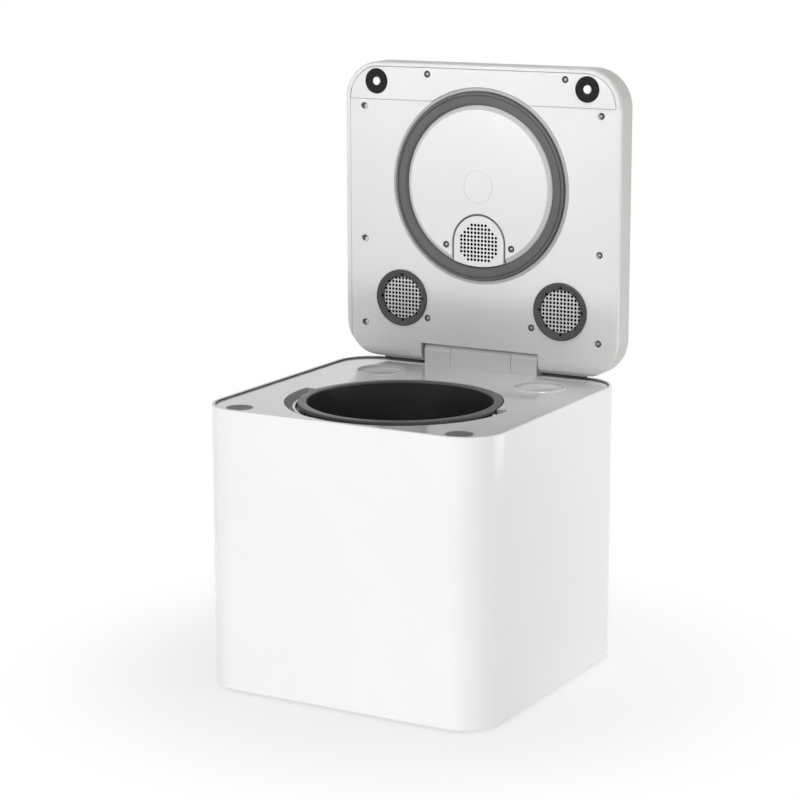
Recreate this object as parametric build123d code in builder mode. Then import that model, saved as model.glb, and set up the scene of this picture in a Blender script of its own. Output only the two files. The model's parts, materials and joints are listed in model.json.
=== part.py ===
from build123d import *
import os
from math import acos, cos, pi, radians, sin, tan

os.makedirs("parts", exist_ok=True)

# Driving dimensions in millimetres. z = 0 is the ground, x points right, y points to the rear.

# Body
body_w = 300.0  # width of the outer sleeve
pocket_front = 7.25  # between the handle pocket's wall and the body's front face
rear_room = 176.75  # from the bucket's axis to the body's rear face
sleeve_h = 270.0  # height of the outer sleeve
sleeve_t = 3.0  # wall of the outer sleeve
corner_r = 39.0  # plan radius of the four upright corners
foot_stand = 2.0  # the sleeve ends this far above the ground
rim_round = 0.9  # round on the sleeve's top edge
hem_round = 2.0  # round on the sleeve's bottom edge
inset_gap = 0.3  # between the sleeve and the plates that sit inside it

# Deck around the bucket
deck_drop = 2.8  # the deck lies this far below the sleeve's rim
deck_t = 3.0
deck_skirt = 14.0  # depth of the deck's edge skirt
deck_wall = 2.5  # walls of the skirt, the collar and the handle pocket
pocket_depth = 12.7  # handle pocket in front of the bucket
pocket_back = 9.0  # the pocket ends this far behind the bucket's axis
collar_gap = 1.2  # between the bucket's rim and the deck around it

# Bucket
bucket_r = 87.4  # inside radius at the mouth
bucket_t = 1.6
bucket_depth = 175.5  # from the rim to the floor inside
bucket_draft = 2.6  # the bucket is narrower by this radius at its floor
bucket_corner = 12.0  # round between the bucket's wall and floor
rim_reach = 8.4  # the rim reaches this far out from the bucket's mouth
rim_t = 4.0
rim_stand = 0.5  # the bucket's rim stands this far above the deck
dome_r = 24.0  # raised dome over the coupling in the bucket's floor
dome_h = 14.0

# Bail handle
bail_gap = 2.4  # between the bucket's rim and the strap round it
bail_t = 2.4
finger_room = 7.9  # between the strap and the handle pocket's wall
bail_h = 5.0
pivot_drop = 7.4  # pivots below the bucket's rim
eye_r = 4.3
pivot_r = 1.6
ear_w = 8.4
grip_arc = 52.0  # degrees of the strap that the grip covers
grip_wall = 1.5

# Heating chamber
chamber_gap = 3.0  # between the bucket's wall and the chamber
chamber_t = 1.5
flange_w = 12.5
floor_gap = 0.3  # between the bucket and the chamber's floor
shield_gap = 5.5  # between the chamber's wall and the heat shield
shield_t = 1.0
shield_bottom = 62.0
heater_in = 36.0
heater_out = 80.0
heater_t = 4.5

# Drive under the chamber: drive gear, two compound gears and the motor's pinion
drive_module = 2.0
drive_teeth = 48
first_module = 1.5
first_teeth = 48
second_module = 1.25
second_teeth = 42
pinion_teeth = 12
pressure_angle = 20.0
addendum = 0.8  # in modules
dedendum = 1.1  # in modules
tooth_play = 0.35  # each tooth is thinner than half its pitch by this much
gear_floor = 12.0  # top of the gearbox floor
gear_gap = 2.0  # between one gear and the next along their axes
drive_face = 10.0  # face widths
first_face = 8.0
second_face = 6.0
box_wall = 3.0
tooth_room = 4.0  # between the tooth tips and the gearbox wall
shaft_r = 6.0
axle_r = 3.0
bearing_gap = 0.08  # radial clearance of a turning fit
dog_r = 12.0
tongue_w = 8.0
dog_gap = 0.4
dog_depth = 6.5
agitator_shaft_r = 4.5
motor_r = 22.0
motor_h = 62.0

# Agitator
hub_r = 13.0
blade_t = 4.0
blade_side_gap = 3.8  # between a blade and the bucket's wall at its foot
blade_rise = 14.0
scraper_h = 62.0
blade_gap = 1.6  # between a blade and the bucket's floor

# Filters
port_from_side = 62.5  # from the port's centre to the body's side
port_from_rear = 60.0
port_r = 23.5  # inside radius of the port
port_lip = 2.5
port_rise = 1.0
canister_r = 22.3
canister_h = 150.0
cap_t = 4.0
cap_drop = 1.2  # the caps lie this far below the deck
cap_gap = 0.35
cap_rim = 3.0  # width of the cap's raised rim
cap_recess = 0.8
canister_lift = 0.3  # gap under a seated canister
well_t = 1.6

# Lid, measured when open at a right angle; its hinge axis runs along x
hinge_inset = 8.0  # axis in front of the body's rear face
lid_gap = 1.55  # between the sleeve's rim and the closed lid
hinge_drop = 10.7  # axis above the lid's inner face
lid_t = 25.6
lid_wall = 2.6
lid_setback = 1.0  # the closed lid's front edge behind the body's front
lid_corner = 38.0
panel_t = 2.6
panel_round = 2.2
lid_round = 4.0
knuckle_r = 7.5
knuckle_gap = 0.55
tower_half = 33.4  # half width of the hinge tower
knuckle_end = 62.4  # outer end of the side knuckles
notch_half = 65.0
pin_r = 3.0
pin_end = 71.0
damper_r = 5.6
lug_w = 7.0

# Lid face
strip_edge = 5.6  # border around the front strip cover
strip_depth = 37.35  # from the lid's front edge to the strip's rear edge
strip_gap = 0.4
strip_t = 2.0
gasket_r = 93.3
gasket_lip = 2.7  # a thin lip outside the gasket, flat on the panel
gasket_in = 78.7
gasket_h = 3.4
disc_h = 3.0
disc_bevel = 3.6
emblem_r = 15.7  # fine ring line at the disc's centre
emblem_w = 0.6
emblem_h = 0.4
arch_half = 28.4
arch_drop = 56.1  # centre of the arch below the centre of the disc
arch_groove = 1.8
hole_r = 0.95
hole_pitch = 3.8
hole_sides = 6  # the small holes are hexagons
grille_r = 28.4
grille_light_r = 20.6
grille_seal_h = 2.2
catch_from_side = 35.5
catch_from_front = 20.3
catch_r = 12.5
catch_core_r = 4.25
catch_t = 2.0
lid_board_w = 120.0
lid_board_d = 22.0
screw_head_r = 2.4
screw_bore_r = 3.0
screw_r = 1.5
screw_l = 9.0
boss_r = 4.2
strip_screw_left = -57.8
strip_screw_gap = 23.5  # from the right catch to the right screw of the strip
strip_screw_inset = 10.85  # from the lid's front edge
side_screw_inset = 20.4  # from the lid's side
panel_screw_drop = 6.6  # behind the strip
mid_screw_v = 110.15
rear_screw_v = 24.0
grille_screw_gap = 29.7
grille_screw_drop = 18.45
disc_screw_x = 35.5
disc_screw_drop = 3.4

# Lid ducting and fans
duct_r = 26.0
duct_t = 1.5
duct_h = 15.0
duct_neck = 30.0
blower_r = 20.0
blower_h = 8.0
blower_blades = 20
fan_size = 60.0
fan_t = 15.0
fan_z = 190.0
fan_blades = 7
fan_gap = 1.5

# Base, feet and rear face
base_stand = 3.0  # the base plate above the ground
base_t = 3.0
base_skirt = 14.0
foot_r = 13.0
foot_from_side = 42.0
foot_from_rear = 43.5
stud_r = 4.5
post_r = 4.0
vent_w = 4.0
vent_l = 34.0
vent_pitch = 8.0
vent_count = 7
inlet_from_side = 52.0
inlet_z = 42.0
inlet_w = 27.0
inlet_h = 20.0
inlet_d = 18.0
inlet_lip = 1.6
inlet_floor = 3.1
board_from_side = 62.0
board_from_rear = 55.5
board_w = 80.0
board_d = 56.0
board_t = 1.6
standoff_h = 8.0
sensor_w = 8.0
sensor_h = 5.0

# Levels and places that follow from the driving dimensions
rim_r = bucket_r + rim_reach
bail_r = rim_r + bail_gap
pocket_r = bail_r + bail_t + finger_room
bucket_setback = pocket_front + deck_wall + pocket_r
body_d = bucket_setback + rear_room
bucket_y = bucket_setback - body_d / 2
port_x = body_w / 2 - port_from_side
port_y = body_d / 2 - port_from_rear
catch_x = body_w / 2 - catch_from_side
catch_y = catch_from_front - body_d / 2
foot_x = body_w / 2 - foot_from_side
foot_y = body_d / 2 - foot_from_rear
inlet_x = body_w / 2 - inlet_from_side
board_x = board_from_side - body_w / 2
board_y = body_d / 2 - board_from_rear
blade_reach = bucket_r - bucket_draft - blade_side_gap
rim_z = foot_stand + sleeve_h
deck_z = rim_z - deck_drop
inner_w = body_w - 2 * sleeve_t - 2 * inset_gap
inner_d = body_d - 2 * sleeve_t - 2 * inset_gap
inner_r = corner_r - sleeve_t - inset_gap
rear_wall_y = body_d / 2 - sleeve_t
pocket_z = deck_z - pocket_depth
pocket_under = pocket_z - deck_wall
bucket_rim_z = deck_z + rim_stand
bucket_floor_z = bucket_rim_z - bucket_depth
bucket_under = bucket_floor_z - bucket_t
chamber_floor_z = bucket_under - floor_gap
chamber_r = bucket_r + bucket_t + chamber_gap
throat_r = chamber_r + chamber_t
shield_r = chamber_r + chamber_t + shield_gap
post_place = shield_r + shield_t + post_r + inset_gap
pivot_z = bucket_rim_z - pivot_drop
hinge_y = body_d / 2 - hinge_inset
hinge_z = rim_z + lid_gap + hinge_drop
inner_y = hinge_y - hinge_drop
lid_front = hinge_y + body_d / 2 - lid_setback
strip_line = lid_front - strip_depth
gasket_v = hinge_y - bucket_y
grille_v = hinge_y - port_y
catch_v = hinge_y - catch_y
arch_v = gasket_v - arch_drop
first_y = bucket_y + drive_module * (drive_teeth + pinion_teeth) / 2
second_y = first_y + first_module * (first_teeth + pinion_teeth) / 2
motor_y = second_y + second_module * (second_teeth + pinion_teeth) / 2
drive_level = gear_floor + gear_gap
first_level = drive_level + drive_face + gear_gap
second_level = first_level + first_face + gear_gap
gear_top = second_level + second_face + gear_gap
lid_face = Plane(origin=(0, inner_y, hinge_z), x_dir=(1, 0, 0), z_dir=(0, -1, 0))
rear_face = Plane(origin=(0, body_d / 2, 0), x_dir=(-1, 0, 0), z_dir=(0, 1, 0))
bucket_axis = Axis((0, bucket_y, 0), (0, 0, 1))
bucket_plane = Plane(origin=(0, bucket_y, 0), x_dir=(1, 0, 0), z_dir=(0, -1, 0))
strip_screws = [
    (strip_screw_left, lid_front - strip_screw_inset),
    (catch_x - strip_screw_gap, lid_front - strip_screw_inset),
]
side_screw_x = body_w / 2 - side_screw_inset
panel_screws = [
    (-side_screw_x, strip_line - panel_screw_drop),
    (side_screw_x, strip_line - panel_screw_drop),
    (-side_screw_x, mid_screw_v),
    (side_screw_x, mid_screw_v),
    (-side_screw_x, rear_screw_v),
    (side_screw_x, rear_screw_v),
    (grille_screw_gap - port_x, grille_v - grille_screw_drop),
    (port_x - grille_screw_gap, grille_v - grille_screw_drop),
]
lid_screw_places = strip_screws + panel_screws
disc_screw_places = [(-disc_screw_x, arch_v - disc_screw_drop), (disc_screw_x, arch_v - disc_screw_drop)]


def save(piece, name):
    """Label a finished piece and write it to its own file."""
    piece.part.label = name
    export_step(piece.part, f"parts/{name}.step")


def body_outline(width, depth, radius, level):
    """Rounded outline of a body plate at a level."""
    with BuildSketch(Plane.XY.offset(level)) as sketch:
        RectangleRounded(width, depth, radius)
    return sketch.sketch


def lid_outline(inset):
    """Draw the lid's outline, moved in from its edge, into the open sketch."""
    with Locations((0, (lid_front - hinge_drop) / 2)):
        RectangleRounded(
            body_w - 2 * inset, lid_front + hinge_drop - 2 * inset, lid_corner - inset
        )


def lid_axis_plane(u, v):
    """Plane for a turned profile on the lid: x is the radius and y stands off the inner face."""
    return Plane(origin=(u, inner_y, hinge_z + v), x_dir=(1, 0, 0), z_dir=(0, 0, -1))


def lid_axis(u, v):
    """Axis through a point of the lid's inner face, pointing out of it."""
    return Axis((u, inner_y, hinge_z + v), (0, -1, 0))


def round_rear_edge():
    """Cut the lid's rear inner edge to a round about the hinge axis."""
    with BuildSketch(Plane.YZ) as sketch:
        with Locations((hinge_y, hinge_z)):
            Rectangle(2 * hinge_drop, 2 * hinge_drop, align=(Align.MAX, Align.MAX))
            Circle(hinge_drop, mode=Mode.SUBTRACT)
    extrude(sketch.sketch, amount=body_w, both=True, mode=Mode.SUBTRACT)


def hinge_notch():
    """Open the lid's rear edge and inner face round the hinge tower."""
    reach = knuckle_r + knuckle_gap
    with BuildSketch(lid_face) as sketch:
        Rectangle(2 * notch_half, reach + lid_wall + hinge_drop, align=(Align.CENTER, Align.MAX))
    with BuildSketch(lid_face) as front:
        Rectangle(2 * notch_half, 2 * reach, align=(Align.CENTER, Align.CENTER))
    depth = hinge_drop + knuckle_r + knuckle_gap
    extrude(sketch.sketch, amount=-depth, mode=Mode.SUBTRACT)
    extrude(front.sketch, amount=-depth, mode=Mode.SUBTRACT)


def arch(grow, height):
    """Arch outline of the fan cover, running down past the disc's edge."""
    half = arch_half - grow
    with BuildSketch(lid_face.offset(height)) as sketch:
        with Locations((0, arch_v)):
            Circle(half)
            Rectangle(2 * half, gasket_r, align=(Align.CENTER, Align.MAX))
        with Locations((0, gasket_v)):
            Circle(gasket_in - 0.4, mode=Mode.INTERSECT)
    return sketch.sketch


def round_grille_places():
    """Square grid inside a circle, with one lone hole at each end of both axes."""
    places = []
    for i in range(-6, 7):
        for j in range(-6, 7):
            lone = i * j == 0 and abs(i + j) == 6
            if lone or i * i + j * j <= 32:
                places.append((i * hole_pitch, j * hole_pitch))
    return places


def arch_grille_places():
    """Rows of a rounded grid, from the top row down."""
    places = []
    for row, half_count in enumerate((2, 3, 4, 5, 5, 5, 5, 5, 4, 3)):
        for i in range(-half_count, half_count + 1):
            places.append((i * hole_pitch, (4.5 - row) * hole_pitch))
    return places


def gear_outline(module, teeth, start, place, level):
    """Spur gear outline, its flanks on the involute, its first tooth at the start angle."""
    pitch = module * teeth / 2
    base = pitch * cos(radians(pressure_angle))
    root = pitch - dedendum * module
    tip = pitch + addendum * module
    low = max(base, root)

    def half_angle(radius):
        turn = acos(min(1.0, base / radius))
        at_pitch = tan(radians(pressure_angle)) - radians(pressure_angle)
        return pi / (2 * teeth) - tooth_play / (2 * pitch) + at_pitch - (tan(turn) - turn)

    flank = [(root - 0.2 * module, half_angle(low))]
    for radius in (low, tip):
        flank.append((radius, half_angle(radius)))
    side = [(radius * cos(angle), radius * sin(angle)) for radius, angle in flank]
    tooth = side + [(x, -y) for x, y in reversed(side)]
    with BuildSketch(Plane.XY.offset(level)) as sketch:
        with Locations(place):
            Circle(root)
            with PolarLocations(0, teeth, start_angle=start):
                Polygon(*tooth, align=None)
    return sketch.sketch


def hinge_outline(plane):
    """Side view of the hinge tower: a stem on the deck under a round knuckle."""
    front = hinge_y - knuckle_r
    back = hinge_y + knuckle_r
    stem_back = rear_wall_y - inset_gap
    with BuildSketch(plane) as sketch:
        with Locations((hinge_y, hinge_z)):
            Circle(knuckle_r)
        Polygon(
            (front, deck_z),
            (stem_back, deck_z),
            (stem_back, rim_z + lid_gap),
            (back, hinge_z - knuckle_r / 2),
            (back, hinge_z),
            (front, hinge_z),
            align=None,
        )
    return sketch.sketch


# Outer sleeve with the rear vent slots and the opening for the power inlet
with BuildPart() as outer_sleeve:
    extrude(body_outline(body_w, body_d, corner_r, foot_stand), amount=sleeve_h)
    fillet(outer_sleeve.edges().group_by(Axis.Z)[-1], radius=min(rim_round, 0.4 * sleeve_t))
    fillet(outer_sleeve.edges().group_by(Axis.Z)[0], radius=min(hem_round, 0.8 * sleeve_t))
    hollow = body_outline(
        body_w - 2 * sleeve_t, body_d - 2 * sleeve_t, corner_r - sleeve_t, foot_stand
    )
    extrude(hollow, amount=sleeve_h, mode=Mode.SUBTRACT)
    with BuildSketch(rear_face):
        with Locations((0, fan_z)):
            with GridLocations(vent_pitch, 0, vent_count, 1):
                SlotOverall(vent_l, vent_w, rotation=90)
        with Locations((-inlet_x, inlet_z)):
            RectangleRounded(inlet_w + 2 * inset_gap, inlet_h + 2 * inset_gap, 3)
    extrude(amount=-2 * sleeve_t, mode=Mode.SUBTRACT)
save(outer_sleeve, "outer_sleeve")

# Base plate with an edge skirt, foot holes, air slots and seats for the posts and the gearbox
gearbox_bottom = gear_floor - box_wall
with BuildPart() as base_plate:
    extrude(body_outline(inner_w, inner_d, inner_r, base_stand), amount=base_t + base_skirt)
    tray = body_outline(
        inner_w - 2 * deck_wall, inner_d - 2 * deck_wall, inner_r - deck_wall, base_stand + base_t
    )
    extrude(tray, amount=base_skirt, mode=Mode.SUBTRACT)
    with BuildSketch(Plane.XY.offset(base_stand)):
        with GridLocations(2 * foot_x, 2 * foot_y, 2, 2):
            Circle(stud_r + bearing_gap)
        with Locations((0, bucket_y)):
            with PolarLocations(post_place, 4, start_angle=45):
                Circle(screw_r)
        with Locations((-foot_x, 0), (foot_x, 0)):
            with GridLocations(0, vent_pitch, 1, vent_count):
                SlotOverall(vent_l, vent_w)
    extrude(amount=base_t, mode=Mode.SUBTRACT)
    with BuildSketch(Plane.XY.offset(base_stand + base_t)):
        with Locations((-30, bucket_y), (30, bucket_y), (0, first_y), (0, second_y)):
            Circle(6)
    extrude(amount=gearbox_bottom - base_stand - base_t)
    with BuildSketch(Plane.XY.offset(base_stand + base_t)):
        with Locations((board_x, board_y)):
            with GridLocations(board_w - 8, board_d - 8, 2, 2):
                Circle(3)
    extrude(amount=standoff_h)
save(base_plate, "base_plate")

# Four rubber feet with studs through the base plate
with BuildPart() as rubber_feet:
    with BuildSketch():
        with GridLocations(2 * foot_x, 2 * foot_y, 2, 2):
            Circle(foot_r)
    extrude(amount=base_stand, taper=8)
    with BuildSketch(Plane.XY.offset(base_stand)):
        with GridLocations(2 * foot_x, 2 * foot_y, 2, 2):
            Circle(stud_r)
    extrude(amount=base_t + 0.5)
save(rubber_feet, "rubber_feet")


def deck_opening(grow, level):
    """Bucket opening joined with the half-round handle pocket in front of it."""
    with BuildSketch(Plane.XY.offset(level)) as sketch:
        with Locations((0, bucket_y)):
            Circle(pocket_r + grow)
        with Locations((0, bucket_y + pocket_back + grow)):
            Rectangle(3 * pocket_r, 3 * pocket_r, align=(Align.CENTER, Align.MIN), mode=Mode.SUBTRACT)
        with Locations((0, bucket_y)):
            Circle(rim_r + collar_gap + grow)
    return sketch.sketch


# Deck with its skirt, the handle pocket, the collar round the bucket and the filter ports
with BuildPart() as top_deck:
    extrude(body_outline(inner_w, inner_d, inner_r, deck_z - deck_skirt), amount=deck_skirt)
    under = body_outline(
        inner_w - 2 * deck_wall, inner_d - 2 * deck_wall, inner_r - deck_wall, deck_z - deck_skirt
    )
    extrude(under, amount=deck_skirt - deck_t, mode=Mode.SUBTRACT)
    extrude(deck_opening(deck_wall, pocket_under), amount=deck_z - pocket_under)
    extrude(deck_opening(0, pocket_z), amount=pocket_depth, mode=Mode.SUBTRACT)
    with BuildSketch(Plane.XY.offset(pocket_under)):
        with Locations((0, bucket_y)):
            Circle(throat_r)
    extrude(amount=pocket_depth, mode=Mode.SUBTRACT)
    with BuildSketch(Plane.XY.offset(deck_z - deck_t)):
        with GridLocations(2 * port_x, 0, 2, 1):
            with Locations((0, port_y)):
                Circle(port_r + port_lip)
    extrude(amount=deck_t + port_rise)
    with BuildSketch(Plane.XY.offset(deck_z - deck_t)):
        with GridLocations(2 * port_x, 0, 2, 1):
            with Locations((0, port_y)):
                Circle(port_r)
    extrude(amount=deck_t + port_rise, mode=Mode.SUBTRACT)
    with BuildSketch(Plane.XY.offset(deck_z)):
        with Locations((-catch_x, catch_y), (catch_x, catch_y)):
            Circle(catch_r + bearing_gap)
    extrude(amount=-catch_t, mode=Mode.SUBTRACT)
save(top_deck, "top_deck")

# Steel discs that the lid's magnets pull on, flush with the deck
with BuildPart() as catch_discs:
    with BuildSketch(Plane.XY.offset(deck_z - catch_t)):
        with Locations((-catch_x, catch_y), (catch_x, catch_y)):
            Circle(catch_r)
    extrude(amount=catch_t)
save(catch_discs, "catch_discs")

# Hinge tower on the deck, two side knuckles, their dampers and the hinge pin
with BuildPart() as hinge_tower:
    extrude(hinge_outline(Plane.YZ), amount=tower_half, both=True)
    with BuildSketch(Plane.YZ):
        with Locations((hinge_y, hinge_z)):
            Circle(pin_r + bearing_gap)
    extrude(amount=tower_half, both=True, mode=Mode.SUBTRACT)
save(hinge_tower, "hinge_tower")

knuckle_start = tower_half + 0.4
knuckle_w = knuckle_end - knuckle_start
for side, name in ((-1, "left"), (1, "right")):
    with BuildPart() as hinge_knuckle:
        inner_end = Plane.YZ.offset(knuckle_start if side > 0 else -knuckle_end)
        extrude(hinge_outline(inner_end), amount=knuckle_w)
        with BuildSketch(inner_end):
            with Locations((hinge_y, hinge_z)):
                Circle(damper_r)
        extrude(amount=knuckle_w, mode=Mode.SUBTRACT)
    save(hinge_knuckle, f"{name}_hinge_knuckle")

with BuildPart() as hinge_dampers:
    for start in (knuckle_start, -knuckle_end):
        with BuildSketch(Plane.YZ.offset(start)):
            with Locations((hinge_y, hinge_z)):
                Circle(damper_r - bearing_gap)
                Circle(pin_r + bearing_gap, mode=Mode.SUBTRACT)
        extrude(amount=knuckle_w)
save(hinge_dampers, "hinge_dampers")

with BuildPart() as hinge_pin:
    with BuildSketch(Plane.YZ.offset(-pin_end)):
        with Locations((hinge_y, hinge_z)):
            Circle(pin_r)
    extrude(amount=2 * pin_end)
    chamfer(hinge_pin.edges(), length=0.5)
save(hinge_pin, "hinge_pin")

# Heating chamber: a flanged pot under the deck, with a hole in its floor for the coupling
with BuildPart() as heating_chamber:
    with BuildSketch(Plane(origin=(0, bucket_y, 0), x_dir=(1, 0, 0), z_dir=(0, -1, 0))):
        with BuildLine():
            Polyline(
                (dog_r + 3, chamber_floor_z - chamber_t),
                (chamber_r + chamber_t, chamber_floor_z - chamber_t),
                (chamber_r + chamber_t, pocket_under - chamber_t),
                (chamber_r + chamber_t + flange_w, pocket_under - chamber_t),
                (chamber_r + chamber_t + flange_w, pocket_under),
                (chamber_r, pocket_under),
                (chamber_r, chamber_floor_z),
                (dog_r + 3, chamber_floor_z),
                close=True,
            )
        make_face()
    revolve(axis=bucket_axis)
save(heating_chamber, "heating_chamber")

heater_top = chamber_floor_z - chamber_t
with BuildPart() as ring_heater:
    with BuildSketch(Plane.XY.offset(heater_top - heater_t)):
        with Locations((0, bucket_y)):
            Circle(heater_out)
            Circle(heater_in, mode=Mode.SUBTRACT)
    extrude(amount=heater_t)
    chamfer(ring_heater.edges().group_by(Axis.Z)[0], length=0.8)
save(ring_heater, "ring_heater")

with BuildPart() as temperature_sensor:
    with BuildSketch(Plane.XY.offset(heater_top - 7)):
        with Locations(((heater_in + dog_r) / 2 + 1, bucket_y)):
            Circle(4)
    extrude(amount=7)
save(temperature_sensor, "temperature_sensor")

with BuildPart() as heat_shield:
    with BuildSketch(Plane.XY.offset(shield_bottom)):
        with Locations((0, bucket_y)):
            Circle(shield_r + shield_t)
            Circle(shield_r, mode=Mode.SUBTRACT)
    extrude(amount=pocket_under - chamber_t - shield_bottom)
save(heat_shield, "heat_shield")

# Posts that carry the chamber's flange on the base plate
with BuildPart() as chamber_posts:
    with BuildSketch(Plane.XY.offset(base_stand + base_t)):
        with Locations((0, bucket_y)):
            with PolarLocations(post_place, 4, start_angle=45):
                Circle(post_r)
    extrude(amount=pocket_under - chamber_t - base_stand - base_t)
    with BuildSketch(Plane.XY.offset(base_stand + base_t)):
        with Locations((0, bucket_y)):
            with PolarLocations(post_place, 4, start_angle=45):
                Circle(screw_r)
    extrude(amount=8, mode=Mode.SUBTRACT)
save(chamber_posts, "chamber_posts")

# Bucket: drafted wall, flat rim, rounded floor and a dome over the coupling
with BuildPart() as bucket:
    floor_r = bucket_r - bucket_draft
    with BuildSketch(bucket_plane):
        with BuildLine():
            mouth = Line((bucket_r, bucket_rim_z), (floor_r, bucket_floor_z + bucket_corner))
            corner_in = RadiusArc(
                mouth @ 1, (floor_r - bucket_corner, bucket_floor_z), bucket_corner
            )
            floor_in = Line(corner_in @ 1, (dome_r + 6, bucket_floor_z))
            dome_side = Line(floor_in @ 1, (dome_r, bucket_floor_z + dome_h))
            dome_top = Line(dome_side @ 1, (agitator_shaft_r + 3, bucket_floor_z + dome_h))
            bore = Line(dome_top @ 1, (agitator_shaft_r + 3, bucket_floor_z + dome_h - bucket_t))
            dome_under = Line(bore @ 1, (dome_r - bucket_t, bucket_floor_z + dome_h - bucket_t))
            dome_out = Line(dome_under @ 1, (dome_r + 4, bucket_under))
            floor_out = Line(dome_out @ 1, (floor_r - bucket_corner, bucket_under))
            corner_out = RadiusArc(
                floor_out @ 1,
                (floor_r + bucket_t, bucket_floor_z + bucket_corner),
                -(bucket_corner + bucket_t),
            )
            wall_out = Line(corner_out @ 1, (bucket_r + bucket_t, bucket_rim_z - rim_t))
            rim_under = Line(wall_out @ 1, (rim_r, bucket_rim_z - rim_t))
            rim_out = Line(rim_under @ 1, (rim_r, bucket_rim_z))
            Line(rim_out @ 1, (bucket_r, bucket_rim_z))
        make_face()
    revolve(axis=bucket_axis)
    ear_out = bail_r - 0.5
    with BuildSketch(Plane.XY.offset(pivot_z - ear_w / 2)):
        with Locations((0, bucket_y)):
            Rectangle(2 * ear_out, ear_w)
            Circle(bucket_r + 0.6 * bucket_t, mode=Mode.SUBTRACT)
    extrude(amount=bucket_rim_z - rim_t - pivot_z + ear_w / 2)
    for start in (bucket_r + bucket_t + 1, -ear_out):
        with BuildSketch(Plane.YZ.offset(start)):
            with Locations((bucket_y, pivot_z)):
                Circle(pivot_r)
        extrude(amount=ear_out - bucket_r - bucket_t - 1, mode=Mode.SUBTRACT)
save(bucket, "bucket")

# Bail handle: a strap round the rim with an eye at each end, its pins and its grip
with BuildPart() as handle_pins:
    for start in (bucket_r + bucket_t + 1.2, -bail_r - bail_t - 0.6):
        with BuildSketch(Plane.YZ.offset(start)):
            with Locations((bucket_y, pivot_z)):
                Circle(pivot_r)
        extrude(amount=bail_r + bail_t - bucket_r - bucket_t - 0.6)
save(handle_pins, "handle_pins")


def strap_segment(inner, outer, bottom, height, arc):
    """Part of a flat ring about the bucket's axis, its middle at the front."""
    with BuildSketch(Plane.XY.offset(bottom)) as sketch:
        with Locations((0, bucket_y)):
            Circle(outer)
            Circle(inner, mode=Mode.SUBTRACT)
            with BuildSketch(mode=Mode.PRIVATE) as wedge:
                far = 2 * outer
                half = radians(arc / 2)
                Polygon((0, 0), (-far * sin(half), -far * cos(half)), (0, -far), (far * sin(half), -far * cos(half)), align=None)
            add(wedge.sketch, mode=Mode.INTERSECT)
    return sketch.sketch


bail_bottom = pivot_z - bail_h / 2
with BuildPart() as bail_handle:
    with BuildSketch(Plane.XY.offset(bail_bottom)):
        with Locations((0, bucket_y)):
            Circle(bail_r + bail_t)
            Circle(bail_r, mode=Mode.SUBTRACT)
            Rectangle(4 * bail_r, 2 * bail_r, align=(Align.CENTER, Align.MIN), mode=Mode.SUBTRACT)
    extrude(amount=bail_h)
    for start in (bail_r, -bail_r - bail_t):
        with BuildSketch(Plane.YZ.offset(start)):
            with Locations((bucket_y, pivot_z)):
                Circle(eye_r)
        extrude(amount=bail_t)
    with BuildSketch(Plane.YZ):
        with Locations((bucket_y, pivot_z)):
            Circle(pivot_r + bearing_gap)
    extrude(amount=1.2 * bail_r, both=True, mode=Mode.SUBTRACT)
save(bail_handle, "bail_handle")

with BuildPart() as handle_grip:
    extrude(
        strap_segment(
            bail_r - grip_wall, bail_r + bail_t + grip_wall, bail_bottom - grip_wall, 0, grip_arc
        ),
        amount=bail_h + 2 * grip_wall,
    )
    fillet(handle_grip.edges().filter_by(GeomType.CIRCLE), radius=0.6 * grip_wall)
    extrude(
        strap_segment(bail_r - 0.05, bail_r + bail_t + 0.05, bail_bottom - 0.05, 0, grip_arc + 20),
        amount=bail_h + 0.1,
        mode=Mode.SUBTRACT,
    )
save(handle_grip, "handle_grip")

# Bush in the bucket's dome
dome_top_z = bucket_floor_z + dome_h
with BuildPart() as shaft_bush:
    with BuildSketch(Plane.XY.offset(dome_top_z - bucket_t)):
        with Locations((0, bucket_y)):
            Circle(agitator_shaft_r + 3 - 0.02)
    extrude(amount=bucket_t)
    with BuildSketch(Plane.XY.offset(dome_top_z)):
        with Locations((0, bucket_y)):
            Circle(agitator_shaft_r + 5)
    extrude(amount=1.6)
    with Locations((0, bucket_y, dome_top_z)):
        Cylinder(agitator_shaft_r + bearing_gap, 12, mode=Mode.SUBTRACT)
save(shaft_bush, "shaft_bush")

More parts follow.
